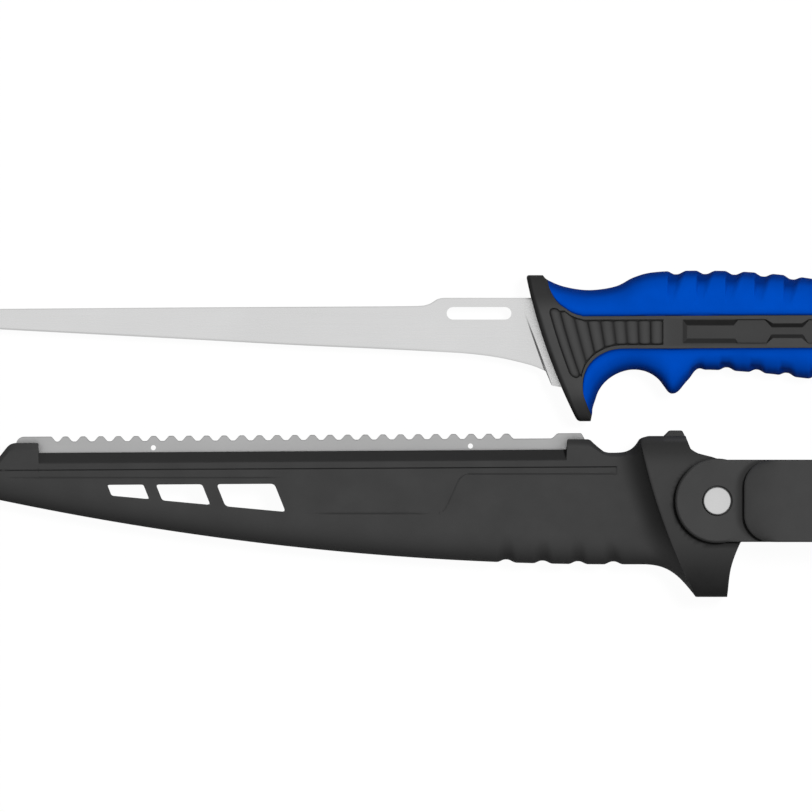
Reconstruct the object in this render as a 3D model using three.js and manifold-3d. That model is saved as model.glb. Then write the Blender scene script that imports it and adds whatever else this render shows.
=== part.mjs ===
// A fillet knife with a two-colour moulded handle, lying beside its own hard sheath.
// Millimetres. +Z is up from the table, +X runs from the blade's tip to the butt of the handle,
// and +Y runs from the sheath to the knife.
// The knife's own frame starts where the guard's front crosses the handle's axis, at half thickness.
// The sheath's own frame starts on the axis of the belt loop's rivet, at half thickness.

import * as THREE from 'three';
import { mergeVertices } from 'three/addons/utils/BufferGeometryUtils.js';
import Module from 'manifold-3d';

const wasm = await Module();
wasm.setup();

// Clearances
const GAP = 0.3;
const SEAT_GAP = 0.25;
const GUARD_FIT = 0.5;
const SEAT_ROOM = 0.6;
const CHANNEL_FIT = 1.2;
const PARTING_GAP = 0.3;

// Blade
const BLADE_LENGTH = 203;
const BLADE_THICKNESS = 2;
const TIP_THICKNESS = 0.9;
const EDGE_THICKNESS = 0.3;
const TIP_RISE = 6.4;
const TIP_SWEEP = 30;
const SPINE_RISE = 7.7;
const HUMP_RISE = 10.1;
const HUMP_LENGTH = 29;
const HUMP_RAMP = 7;
const EDGE_DROP = 4.95;
const HEEL_SWEEP = 48;
const HEEL_DROP = 11.4;
const RICASSO_WIDTH = 2.4;
const RICASSO_DROP = 16.2;
const SHOULDER_DEPTH = 9;
const SLOT_LENGTH = 19.2;
const SLOT_HEIGHT = 3.6;
const SLOT_RISE = 5.5;
const SLOT_AHEAD = 8.6;
const TANG_LENGTH = 95;
const TANG_HEIGHT = 10;
const TANG_HOLE = 5;
const TANG_HOLES = 3;
const TANG_HOLE_FIRST = 30;
const TANG_HOLE_PITCH = 25;

// Handle
const HANDLE_LENGTH = 133;
const HANDLE_HALF = 10.6;
const GUARD_RISE = 16.8;
const GUARD_DROP = 26.3;
const GUARD_LEAN = 15.15;
const GUARD_BOW = 1.6;
const GUARD_HALF = 10.6;
const GUARD_HEAD_WIDTH = 4.4;
const GUARD_FOOT_WIDTH = 3.4;
const SLANT_REACH = 38;
const NECK_RISE = 12.4;
const NECK_HALF = 9;
const CREST_RISE = 18.4;
const PALM_HALF = 11.5;
const BUTT_TOP = 8;
const BUTT_END_DROP = 6;
const HOOK_DROP = 21.3;
const FINGER_RADIUS = 12;
const FINGER_ALONG = 27.2;
const FINGER_DROP = 22.9;
const SPUR_ALONG = 38.9;
const SPUR_DROP = 18.1;
const BELLY_DROP = 11.2;
const OVERMOULD = 2.6;
const CORE_END = 112;
const BAND_HALF = 4.6;
const BAND_END = 108;
const LANYARD_RADIUS = 3.2;
const LANYARD_IN = 11;
const LANYARD_DROP = 8;

// Grip notches, ribs and the sunk panel of the side band
const TOP_NOTCH_FIRST = 39.9;
const TOP_NOTCH_PITCH = 8.5;
const TOP_NOTCHES = 7;
const LOW_NOTCH_FIRST = 54.9;
const LOW_NOTCH_PITCH = 8.85;
const LOW_NOTCHES = 5;
const NOTCH_WIDTH = 5.4;
const NOTCH_DEPTH = 0.9;
const RIB_FIRST = 3.6;
const RIB_PITCH = 3.58;
const RIB_GROOVES = 10;
const RIB_GROOVE_WIDTH = 0.8;
const RIB_GROOVE_DEPTH = 0.6;
const RIB_MARGIN = 1.2;
const RIB_RISE = 6.4;
const RIB_DROP = 12.6;
const PANEL_START = 41.6;
const PANEL_HALF = 3.6;
const PANEL_DEPTH = 0.8;
const PANEL_NECK_START = 66.5;
const PANEL_NECK_LENGTH = 12.2;
const PANEL_NECK_HALF = 1.1;
const PANEL_NECK_SLOPE = 1.8;

// Sheath
const GUARD_SEAT = 16.4;
const SEAT_WALL = 1;
const COLLAR_WALL = 1.7;
const COLLAR_FACE = 3;
const BODY_WALL = 2.4;
const BODY_HALF = 7.5;
const NOSE_HALF = 2.8;
const TIP_ROOM = 4;
const NOSE_WALL = 8.6;
const FLARE_WIDTH = 7;
const BELLY_START = 30;
const BELLY_DEPTH = 18.8;
const NOSE_LOW = 4.7;
const NOSE_HIGH = 8;
const LIP_LEFT = 14.07;
const LIP_RIGHT = 15.05;
const LIP_RIGHT_AT = 46;
const VALLEY_RISE = 14.1;
const SCALLOPS = 4;
const SCALLOP_FIRST = 30.5;
const SCALLOP_PITCH = 10.5;
const SCALLOP_RADIUS = 4.4;
const SCALLOP_DEPTH = 1;
const TAB_RISE = 20.9;
const TAB_HALF = 5;
const BLOCK_HALF = 4.2;
const BLOCK_LEFT_RISE = 17;
const BLOCK_RIGHT_RISE = 18.1;

// Windows of the sheath, all cut between two straight lines
const WINDOW_TOP = 4.6;
const WINDOW_TOP_SLOPE = 0.0065;
const WINDOW_LOW = 1.33;
const WINDOW_LOW_SLOPE = -0.0947;
const WINDOW_LEAN = 0.34;
const WINDOW_CORNER = 0.8;
const WINDOW_FROM_NOSE = 52.6;
const WINDOW_WIDTHS = [10.2, 13.3, 16.6];
const WINDOW_BRIDGE = 4.4;

// Scaler strip
const STRIP_THICKNESS = 1.2;
const STRIP_PROUD = 4.8;
const STRIP_HIDDEN = 4;
const STRIP_END = 35;
const STRIP_STEP = 57;
const STRIP_STEP_RISE = 2.4;
const TOOTH_PITCH = 5.19;
const TOOTH_DEPTH = 1.5;
const TOOTH_LAST = 62;
const STRIP_FLAT = 10;
const STRIP_HOLE = 0.8;
const STRIP_HOLES = [166.1, 72.6];
const STRIP_KEYS = [180, 90];
const KEY_RADIUS = 1;
const KEY_HOLE_DROP = 2.1;

// Belt loop, rivet and washers
const LOOP_LENGTH = 75;
const LOOP_HALF_WIDTH = 12.1;
const DISC_RADIUS = 12.6;
const LOOP_PLATE = 2.6;
const BELT_GAP = 6;
const RAISED_START = 8.7;
const RAISED_RADIUS = 16.2;
const LOOP_ROOT = 9;
const LOOP_END_WALL = 5;
const LOOP_CORNER = 5;
const RIVET_RADIUS = 2.4;
const RIVET_HEAD_RADIUS = 4;
const RIVET_HEAD_HEIGHT = 1.3;
const RIVET_TAIL_RADIUS = 3.5;
const RIVET_TAIL_HEIGHT = 0.4;
const RIVET_WASHER_RADIUS = 4;
const RIVET_WASHER_THICKNESS = 0.5;
const SWIVEL_WASHER_RADIUS = 9;
const SWIVEL_WASHER_THICKNESS = 0.8;

// Where the sheath lies from the knife, guard front to rivet axis
const SHEATH_RIGHT = 51.8;
const SHEATH_BELOW = 49.7;

// Sizes that follow from the ones above
const COLLAR_RISE = GUARD_RISE + GUARD_FIT + COLLAR_WALL;
const COLLAR_DROP = GUARD_DROP + GUARD_FIT + COLLAR_WALL;
const COLLAR_HALF = GUARD_HALF + GUARD_FIT + COLLAR_FACE;
const SEAT_FLOOR = -GUARD_SEAT - SEAT_ROOM;
const FLARE_LINE = SEAT_FLOOR - SEAT_WALL;
const CHANNEL_END = -GUARD_SEAT - BLADE_LENGTH - TIP_ROOM;
const NOSE = CHANNEL_END - NOSE_WALL;
const WASHER_BOTTOM = COLLAR_HALF + SEAT_GAP;
const DISC_BOTTOM = WASHER_BOTTOM + SWIVEL_WASHER_THICKNESS + SEAT_GAP;
const DISC_TOP = DISC_BOTTOM + LOOP_PLATE;
const RAISED_BOTTOM = DISC_TOP + BELT_GAP;
const RAISED_TOP = RAISED_BOTTOM + LOOP_PLATE;
const REACH = 400;

// Solids

// A closed geometry as a solid that can be joined and cut.
function toSolid(geometry) {
  const bare = geometry.clone();
  bare.deleteAttribute('normal');
  bare.deleteAttribute('uv');
  const merged = mergeVertices(bare, 1e-4);
  const mesh = new wasm.Mesh({
    numProp: 3,
    vertProperties: new Float32Array(merged.attributes.position.array),
    triVerts: new Uint32Array(merged.index.array),
  });
  return new wasm.Manifold(mesh);
}

// A solid as a geometry again.
function toGeometry(solid) {
  const mesh = solid.getMesh();
  const geometry = new THREE.BufferGeometry();
  const positions = new Float32Array(mesh.numVert * 3);
  for (let i = 0; i < mesh.numVert; i += 1) {
    for (let k = 0; k < 3; k += 1) positions[3 * i + k] = mesh.vertProperties[mesh.numProp * i + k];
  }
  geometry.setAttribute('position', new THREE.BufferAttribute(positions, 3));
  geometry.setIndex(Array.from(mesh.triVerts));
  return geometry;
}

// A flat outline given thickness between two heights.
function plate(shape, low, high, segments = 10) {
  const geometry = new THREE.ExtrudeGeometry(shape, {
    depth: high - low,
    bevelEnabled: false,
    curveSegments: segments,
  });
  geometry.translate(0, 0, low);
  return toSolid(geometry);
}

// An upright cylinder between two heights.
function peg(x, y, radius, low, high, segments = 20) {
  const geometry = new THREE.CylinderGeometry(radius, radius, high - low, segments);
  geometry.rotateX(Math.PI / 2);
  geometry.translate(x, y, (low + high) / 2);
  return toSolid(geometry);
}

// A block between two corners.
function block(low, high) {
  const geometry = new THREE.BoxGeometry(high.x - low.x, high.y - low.y, high.z - low.z);
  geometry.translate((low.x + high.x) / 2, (low.y + high.y) / 2, (low.z + high.z) / 2);
  return toSolid(geometry);
}

// A skin carried over rings of equal even count, each end closed straight across its thickness.
function loft(rings) {
  const count = rings[0].length;
  const points = rings.flat();
  const triangles = [];
  for (let r = 0; r + 1 < rings.length; r += 1) {
    for (let i = 0; i < count; i += 1) {
      const next = (i + 1) % count;
      const a = r * count + i;
      const b = r * count + next;
      triangles.push(a, b, a + count, b, b + count, a + count);
    }
  }
  const last = (rings.length - 1) * count;
  for (let i = 0; i + 1 < count / 2; i += 1) {
    const [a, b, c, d] = [i, i + 1, count - 2 - i, count - 1 - i];
    triangles.push(a, c, b, a, d, c);
    triangles.push(last + a, last + b, last + c, last + a, last + c, last + d);
  }
  const geometry = new THREE.BufferGeometry().setFromPoints(points);
  geometry.setIndex(triangles);
  return toSolid(geometry);
}

// One ring of a flattened oval between a low and a high point of the side view.
// The ring bows along X, and each half has its own squareness.
function ovalRing(low, high, half, squareLow, squareHigh, bow, count) {
  const ring = [];
  for (let i = 0; i < count; i += 1) {
    const angle = (2 * Math.PI * (i + 0.5)) / count;
    const across = Math.cos(angle);
    const out = Math.sin(angle);
    const power = 2 / (across < 0 ? squareLow : squareHigh);
    const w = Math.sign(across) * Math.abs(across) ** power;
    const z = half * Math.sign(out) * Math.abs(out) ** power;
    const x = THREE.MathUtils.lerp(low.x, high.x, (w + 1) / 2) - bow * (1 - w * w);
    const y = THREE.MathUtils.lerp(low.y, high.y, (w + 1) / 2);
    ring.push(new THREE.Vector3(x, y, z));
  }
  return ring;
}

// Straight-line reading of a list of [place, value] pairs.
function reading(pairs, place) {
  if (place <= pairs[0][0]) return pairs[0][1];
  for (let i = 1; i < pairs.length; i += 1) {
    const [x1, y1] = pairs[i];
    const [x0, y0] = pairs[i - 1];
    if (place <= x1) return THREE.MathUtils.mapLinear(place, x0, x1, y0, y1);
  }
  return pairs[pairs.length - 1][1];
}

// The slanted guard line shared by the handle and the sheath's mouth

// How far right of the axis crossing the guard's front lies at a height.
function guardFront(y) {
  const whole = GUARD_RISE + GUARD_DROP;
  const lineAt = (t) => GUARD_LEAN * t - 4 * GUARD_BOW * t * (1 - t);
  return lineAt((GUARD_RISE - y) / whole) - lineAt(GUARD_RISE / whole);
}

// The slanted station that a point of the side view lies on.
function stationOf(point, fade) {
  let station = point.x;
  for (let i = 0; i < 12; i += 1) station = point.x - guardFront(point.y) * fade(station);
  return station;
}

// The point of an edge line at a slanted station.
function edgeAt(edge, station) {
  if (station <= edge[0].station) return edge[0].point;
  for (let i = 1; i < edge.length; i += 1) {
    if (station <= edge[i].station) {
      const t = (station - edge[i - 1].station) / (edge[i].station - edge[i - 1].station);
      return edge[i - 1].point.clone().lerp(edge[i].point, t);
    }
  }
  return edge[edge.length - 1].point;
}

// An edge line with the slanted station of each of its points.
function edgeLine(path, count, fade) {
  return path.getSpacedPoints(count).map((point) => ({ point, station: stationOf(point, fade) }));
}

// Blade

// The steel's side view, grown all round the hidden end by a clearance.
function hiddenSteel(grow) {
  const shape = new THREE.Shape();
  const half = TANG_HEIGHT / 2 + grow;
  const shoulder = SHOULDER_DEPTH + grow;
  shape.moveTo(-REACH, HUMP_RISE + grow);
  shape.lineTo(-REACH, -RICASSO_DROP - grow);
  shape.lineTo(shoulder, -RICASSO_DROP - grow);
  shape.lineTo(shoulder, -half);
  shape.lineTo(TANG_LENGTH + grow, -half);
  shape.lineTo(TANG_LENGTH + grow, half);
  shape.lineTo(shoulder, half);
  shape.lineTo(shoulder, HUMP_RISE + grow);
  return shape;
}

function makeBlade() {
  const shape = new THREE.Shape();
  const edgeSlope = 0.0485;
  const edgeStart = -BLADE_LENGTH + TIP_SWEEP;
  const edgeHigh = -EDGE_DROP + edgeSlope * (-HEEL_SWEEP - edgeStart);
  const tipTurn = edgeStart - 0.6 * TIP_SWEEP;
  const heel = guardFront(-HEEL_DROP) - RICASSO_WIDTH;
  shape.moveTo(-BLADE_LENGTH, TIP_RISE);
  shape.quadraticCurveTo(tipTurn, edgeHigh + 0.6 * TIP_SWEEP * edgeSlope, edgeStart, edgeHigh);
  shape.lineTo(-HEEL_SWEEP, -EDGE_DROP);
  const sweepTurn = HEEL_SWEEP * 0.4;
  shape.bezierCurveTo(
    -HEEL_SWEEP + sweepTurn, -EDGE_DROP - edgeSlope * sweepTurn,
    heel - 15.6, -HEEL_DROP + 4.3,
    heel, -HEEL_DROP,
  );
  shape.lineTo(guardFront(-RICASSO_DROP) - 2.6, -RICASSO_DROP + 0.9);
  shape.lineTo(guardFront(-RICASSO_DROP) - 1, -RICASSO_DROP);
  shape.lineTo(SHOULDER_DEPTH, -RICASSO_DROP);
  shape.lineTo(SHOULDER_DEPTH, -TANG_HEIGHT / 2);
  shape.lineTo(TANG_LENGTH, -TANG_HEIGHT / 2);
  shape.lineTo(TANG_LENGTH, TANG_HEIGHT / 2);
  shape.lineTo(SHOULDER_DEPTH, TANG_HEIGHT / 2);
  shape.lineTo(SHOULDER_DEPTH, HUMP_RISE);
  shape.lineTo(-HUMP_LENGTH, HUMP_RISE);
  const ramp = HUMP_LENGTH + HUMP_RAMP;
  shape.bezierCurveTo(
    -HUMP_LENGTH - 0.45 * HUMP_RAMP, HUMP_RISE,
    -ramp + 0.5 * HUMP_RAMP, SPINE_RISE,
    -ramp, SPINE_RISE,
  );
  shape.closePath();
  let steel = plate(shape, -BLADE_THICKNESS / 2, BLADE_THICKNESS / 2, 10);

  // The slot near the guard
  const slotEnd = SLOT_HEIGHT / 2;
  const slotRight = -SLOT_AHEAD - slotEnd;
  const slotLeft = -SLOT_AHEAD - SLOT_LENGTH + slotEnd;
  const slot = new THREE.Shape();
  slot.absarc(slotRight, SLOT_RISE, slotEnd, -Math.PI / 2, Math.PI / 2, false);
  slot.absarc(slotLeft, SLOT_RISE, slotEnd, Math.PI / 2, (3 * Math.PI) / 2, false);
  steel = steel.subtract(plate(slot, -BLADE_THICKNESS, BLADE_THICKNESS));
  for (const x of tangHoles()) {
    steel = steel.subtract(peg(x, 0, TANG_HOLE / 2, -BLADE_THICKNESS, BLADE_THICKNESS));
  }

  // The flat grind of each side, a plane that leans down to the edge and to the tip
  const heelHalf = BLADE_THICKNESS / 2;
  const fall = (heelHalf - EDGE_THICKNESS / 2) / (SPINE_RISE + HEEL_DROP);
  const tipFall = heelHalf - fall * (SPINE_RISE - TIP_RISE) - TIP_THICKNESS / 2;
  const taper = tipFall / BLADE_LENGTH;
  const ground = new THREE.Shape();
  ground.moveTo(-BLADE_LENGTH - 10, GUARD_RISE);
  ground.lineTo(-BLADE_LENGTH - 10, -GUARD_DROP);
  for (let y = -GUARD_DROP; y <= GUARD_RISE; y += 4) ground.lineTo(guardFront(y) - RICASSO_WIDTH, y);
  ground.closePath();
  for (const side of [1, -1]) {
    const wheel = new THREE.ExtrudeGeometry(ground, { depth: 8, bevelEnabled: false });
    const spots = wheel.attributes.position;
    for (let i = 0; i < spots.count; i += 1) {
      const face = heelHalf + fall * (spots.getY(i) - SPINE_RISE) + taper * spots.getX(i);
      spots.setZ(i, side * (spots.getZ(i) + face));
    }
    if (side < 0) turnFaces(wheel);
    steel = steel.subtract(toSolid(wheel));
  }
  return steel;
}

// Turns the faces of a mirrored geometry round again.
function turnFaces(geometry) {
  const spots = geometry.attributes.position;
  const a = new THREE.Vector3();
  const b = new THREE.Vector3();
  for (let i = 0; i < spots.count; i += 3) {
    a.fromBufferAttribute(spots, i + 1);
    b.fromBufferAttribute(spots, i + 2);
    spots.setXYZ(i + 1, b.x, b.y, b.z);
    spots.setXYZ(i + 2, a.x, a.y, a.z);
  }
}

function tangHoles() {
  const holes = [];
  for (let i = 0; i < TANG_HOLES; i += 1) holes.push(TANG_HOLE_FIRST + i * TANG_HOLE_PITCH);
  return holes;
}

// Handle

const handleFade = (station) => 1 - THREE.MathUtils.smoothstep(station, 0, SLANT_REACH);

// The side view's upper line, from the guard's head to the butt.
function handleTop() {
  const path = new THREE.CurvePath();
  const start = new THREE.Vector2(guardFront(GUARD_RISE), GUARD_RISE);
  const headEnd = new THREE.Vector2(start.x + GUARD_HEAD_WIDTH, GUARD_RISE);
  const end = new THREE.Vector2(HANDLE_LENGTH, -BUTT_END_DROP);
  path.add(new THREE.LineCurve(start, headEnd));
  path.add(new THREE.SplineCurve([
    headEnd,
    new THREE.Vector2(1.8, 15.4),
    new THREE.Vector2(7, 13.4),
    new THREE.Vector2(14.2, NECK_RISE),
    new THREE.Vector2(22, 13.5),
    new THREE.Vector2(27.5, 16.2),
    new THREE.Vector2(33.6, 17.85),
    new THREE.Vector2(46, CREST_RISE),
    new THREE.Vector2(60.8, 17.9),
    new THREE.Vector2(77.9, 16.1),
    new THREE.Vector2(HANDLE_LENGTH - 34, 12.3),
    new THREE.Vector2(HANDLE_LENGTH - 16, BUTT_TOP),
    new THREE.Vector2(HANDLE_LENGTH - 5, 4),
    new THREE.Vector2(HANDLE_LENGTH - 1, -1),
    end,
  ]));
  return edgeLine(path, 260, handleFade);
}

// The side view's lower line: guard foot, finger hollow, spur, belly and butt hook.
function handleBottom() {
  const path = new THREE.CurvePath();
  const start = new THREE.Vector2(guardFront(-GUARD_DROP), -GUARD_DROP);
  const footEnd = new THREE.Vector2(start.x + GUARD_FOOT_WIDTH, -GUARD_DROP);
  const arcStart = THREE.MathUtils.degToRad(186);
  const arcEnd = THREE.MathUtils.degToRad(44);
  const onArc = (angle) => new THREE.Vector2(
    FINGER_ALONG + FINGER_RADIUS * Math.cos(angle),
    -FINGER_DROP + FINGER_RADIUS * Math.sin(angle),
  );
  path.add(new THREE.LineCurve(start, footEnd));
  path.add(new THREE.LineCurve(footEnd, onArc(arcStart)));
  path.add(new THREE.EllipseCurve(
    FINGER_ALONG, -FINGER_DROP, FINGER_RADIUS, FINGER_RADIUS, arcStart, arcEnd, true,
  ));
  path.add(new THREE.SplineCurve([
    onArc(arcEnd),
    new THREE.Vector2(SPUR_ALONG - 1.6, -SPUR_DROP + 0.8),
    new THREE.Vector2(SPUR_ALONG, -SPUR_DROP),
    new THREE.Vector2(SPUR_ALONG + 1.7, -SPUR_DROP + 0.8),
    new THREE.Vector2(SPUR_ALONG + 4.5, -14.1),
    new THREE.Vector2(SPUR_ALONG + 8, -BELLY_DROP - 0.3),
    new THREE.Vector2(SPUR_ALONG + 13.3, -BELLY_DROP),
    new THREE.Vector2(66.4, -12.2),
    new THREE.Vector2(77.9, -13.6),
    new THREE.Vector2(HANDLE_LENGTH - 38, -15.2),
    new THREE.Vector2(HANDLE_LENGTH - 24, -16.6),
    new THREE.Vector2(HANDLE_LENGTH - 9, -HOOK_DROP),
    new THREE.Vector2(HANDLE_LENGTH - 4, -19.6),
    new THREE.Vector2(HANDLE_LENGTH - 1, -13),
    new THREE.Vector2(HANDLE_LENGTH, -BUTT_END_DROP),
  ]));
  return edgeLine(path, 320, handleFade);
}

// The handle's half thickness before its sides are flattened.
function handleHalf(station) {
  return reading([
    [0, GUARD_HALF],
    [4, GUARD_HALF],
    [18, NECK_HALF],
    [28, NECK_HALF + 0.6],
    [38, HANDLE_HALF + 0.1],
    [55, PALM_HALF - 0.1],
    [75, PALM_HALF],
    [95, PALM_HALF - 0.1],
    [HANDLE_LENGTH - 22, HANDLE_HALF + 0.1],
    [HANDLE_LENGTH - 10, HANDLE_HALF - 1],
    [HANDLE_LENGTH - 4, HANDLE_HALF - 3.6],
    [HANDLE_LENGTH - 1, HANDLE_HALF - 6.5],
    [HANDLE_LENGTH, 2],
  ], station);
}

// How deep the grip notches bite at a place along the handle.
function notchBite(x, first, pitch, count) {
  let bite = 0;
  for (let i = 0; i < count; i += 1) {
    const off = Math.abs(x - first - i * pitch) / (NOTCH_WIDTH / 2);
    if (off < 1) bite += NOTCH_DEPTH * 0.5 * (1 + Math.cos(Math.PI * off));
  }
  return bite;
}

// The whole handle's skin, inset evenly, with or without its notches.
function handleSkin(inset, stations, count, notched) {
  const top = handleTop();
  const bottom = handleBottom();
  const rings = stations.map((station) => {
    const low = edgeAt(bottom, station).clone();
    const high = edgeAt(top, station).clone();
    if (notched) high.y -= notchBite(high.x, TOP_NOTCH_FIRST, TOP_NOTCH_PITCH, TOP_NOTCHES);
    if (notched) low.y += notchBite(low.x, LOW_NOTCH_FIRST, LOW_NOTCH_PITCH, LOW_NOTCHES);
    low.y += inset;
    high.y -= inset;
    const square = THREE.MathUtils.lerp(2.5, 4, 1 - THREE.MathUtils.smoothstep(station, 2, 14));
    const half = handleHalf(station) - inset;
    return ovalRing(low, high, half, square, square, GUARD_BOW * handleFade(station), count);
  });
  return loft(rings);
}

// The black part of the side view: the guard and the straight band behind it.
function blackOutline(grow) {
  const shape = new THREE.Shape();
  const upper = BAND_HALF + grow;
  shape.moveTo(-REACH, REACH);
  shape.lineTo(-REACH, -REACH);
  shape.lineTo(20 + grow, -REACH);
  shape.lineTo(20 + grow, -27);
  shape.lineTo(14.8 + grow, -23);
  shape.quadraticCurveTo(12.1 + grow, -19.5, 12.1 + grow, -15.5);
  shape.bezierCurveTo(12.1 + grow, -9.5, 15.5, -upper, 23, -upper);
  shape.lineTo(BAND_END - BAND_HALF, -upper);
  shape.absarc(BAND_END - BAND_HALF, 0, upper, -Math.PI / 2, Math.PI / 2, false);
  shape.lineTo(13.5, upper);
  shape.bezierCurveTo(7, upper, 3.2 + grow, 9.5, 2.4 + grow, 15.3);
  shape.lineTo(2.4 + grow, REACH);
  shape.closePath();
  return shape;
}

// The heights between which the ribs run at a place along the band.
function ribSpan(station) {
  const lean = handleFade(station);
  const border = blackOutline(-RIB_MARGIN).getSpacedPoints(900);
  let high = RIB_RISE;
  let low = -RIB_DROP;
  for (const point of border) {
    const onLine = station + guardFront(point.y) * lean;
    if (Math.abs(point.x - onLine) > 1.2 || Math.abs(point.y) > 30) continue;
    if (point.y > 0) high = Math.min(high, point.y);
    if (point.y < 0) low = Math.max(low, point.y);
  }
  return { low, high };
}

// The grooves between the ribs of one side.
function ribGrooves(side) {
  const grooves = [];
  for (let i = 0; i < RIB_GROOVES; i += 1) {
    const station = RIB_FIRST + i * RIB_PITCH;
    const { low, high } = ribSpan(station);
    const lean = handleFade(station);
    const steps = 4;
    const shape = new THREE.Shape();
    for (let k = 0; k <= steps; k += 1) {
      const y = THREE.MathUtils.lerp(low, high, k / steps);
      const x = station + guardFront(y) * lean + RIB_GROOVE_WIDTH / 2;
      if (k === 0) shape.moveTo(x, y);
      else shape.lineTo(x, y);
    }
    for (let k = steps; k >= 0; k -= 1) {
      const y = THREE.MathUtils.lerp(low, high, k / steps);
      shape.lineTo(station + guardFront(y) * lean - RIB_GROOVE_WIDTH / 2, y);
    }
    shape.closePath();
    const floor = Math.min(handleHalf(station), HANDLE_HALF) - RIB_GROOVE_DEPTH;
    const out = PALM_HALF + 2;
    grooves.push(side > 0 ? plate(shape, floor, out) : plate(shape, -out, -floor));
  }
  return grooves;
}

// The sunk panel behind the ribs, waisted at its middle.
function panelOutline() {
  const neckEnd = PANEL_NECK_START + PANEL_NECK_LENGTH;
  const end = PANEL_NECK_START + neckEnd - PANEL_START;
  const shape = new THREE.Shape();
  shape.moveTo(PANEL_START, -PANEL_HALF);
  shape.lineTo(PANEL_NECK_START, -PANEL_HALF);
  shape.lineTo(PANEL_NECK_START + PANEL_NECK_SLOPE, -PANEL_NECK_HALF);
  shape.lineTo(neckEnd - PANEL_NECK_SLOPE, -PANEL_NECK_HALF);
  shape.lineTo(neckEnd, -PANEL_HALF);
  shape.lineTo(end, -PANEL_HALF);
  shape.lineTo(end, PANEL_HALF);
  shape.lineTo(neckEnd, PANEL_HALF);
  shape.lineTo(neckEnd - PANEL_NECK_SLOPE, PANEL_NECK_HALF);
  shape.lineTo(PANEL_NECK_START + PANEL_NECK_SLOPE, PANEL_NECK_HALF);
  shape.lineTo(PANEL_NECK_START, PANEL_HALF);
  shape.lineTo(PANEL_START, PANEL_HALF);
  shape.closePath();
  return shape;
}

function fineStations() {
  const step = TOP_NOTCH_PITCH / 3;
  const stations = [0, 0.7];
  const first = TOP_NOTCH_FIRST - Math.floor((TOP_NOTCH_FIRST - 1.5) / step) * step;
  for (let s = first; s < HANDLE_LENGTH - 3.2; s += step) stations.push(s);
  stations.push(HANDLE_LENGTH - 1.6, HANDLE_LENGTH - 0.6, HANDLE_LENGTH - 0.1);
  return stations;
}

function coarseStations(end) {
  const stations = [];
  const steps = 16;
  for (let i = 0; i <= steps; i += 1) stations.push(THREE.MathUtils.lerp(1, end, i / steps));
  return stations;
}

function makeHandle() {
  const flats = block(
    new THREE.Vector3(-REACH, -REACH, -HANDLE_HALF),
    new THREE.Vector3(REACH, REACH, HANDLE_HALF),
  );
  const whole = handleSkin(0, fineStations(), 16, true).intersect(flats);
  const inner = handleSkin(OVERMOULD, coarseStations(CORE_END), 14, false);
  const innerGrown = handleSkin(OVERMOULD - GAP, coarseStations(CORE_END + GAP), 14, false);
  const all = PALM_HALF + 5;
  let core = whole.intersect(plate(blackOutline(0), -all, all, 12)).add(inner.intersect(flats));
  let grip = whole.subtract(plate(blackOutline(GAP), -all, all, 12)).subtract(innerGrown);

  // The slot for the hidden steel, crossed by the plugs that fill the tang's holes
  const slotHalf = BLADE_THICKNESS / 2 + GAP;
  let slot = plate(hiddenSteel(GAP), -slotHalf, slotHalf);
  for (const x of tangHoles()) slot = slot.subtract(peg(x, 0, TANG_HOLE / 2 - GAP, -all, all));
  core = core.subtract(slot);

  for (const side of [1, -1]) {
    for (const groove of ribGrooves(side)) core = core.subtract(groove);
    const floor = HANDLE_HALF - PANEL_DEPTH;
    core = core.subtract(side > 0
      ? plate(panelOutline(), floor, all)
      : plate(panelOutline(), -all, -floor));
  }
  const lanyard = peg(HANDLE_LENGTH - LANYARD_IN, -LANYARD_DROP, LANYARD_RADIUS, -all, all);
  grip = grip.subtract(lanyard);
  return { core, grip };
}

// Sheath

const sheathFade = (station) => THREE.MathUtils.smoothstep(station, FLARE_LINE - 40, FLARE_LINE - 3);

// The height of the sheath's lower line ahead of the flare.
function bellyLine(x) {
  const share = (-BELLY_START - x) / (-BELLY_START - NOSE);
  return -BELLY_DEPTH + (BELLY_DEPTH + NOSE_LOW) * (x < -BELLY_START ? share * share : 0);
}

// The height of the lip under the scaler strip.
function lipLine(x) {
  return THREE.MathUtils.mapLinear(x, NOSE + 34, -LIP_RIGHT_AT, LIP_LEFT, LIP_RIGHT);
}

function sheathBottom() {
  const path = new THREE.CurvePath();
  const points = [];
  const steps = 16;
  const bodyEnd = -22;
  for (let i = 0; i <= steps; i += 1) {
    const x = THREE.MathUtils.lerp(NOSE, bodyEnd, i / steps);
    points.push(new THREE.Vector2(x, bellyLine(x)));
  }
  const flareEnd = FLARE_LINE + guardFront(-COLLAR_DROP);
  path.add(new THREE.SplineCurve(points));
  path.add(new THREE.CubicBezierCurve(
    points[steps],
    new THREE.Vector2(-14.5, -BELLY_DEPTH),
    new THREE.Vector2(-11.5, -BELLY_DEPTH - 2.7),
    new THREE.Vector2(flareEnd, -COLLAR_DROP),
  ));
  path.add(new THREE.LineCurve(
    new THREE.Vector2(flareEnd, -COLLAR_DROP),
    new THREE.Vector2(60, -COLLAR_DROP),
  ));
  return edgeLine(path, 400, sheathFade);
}

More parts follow.
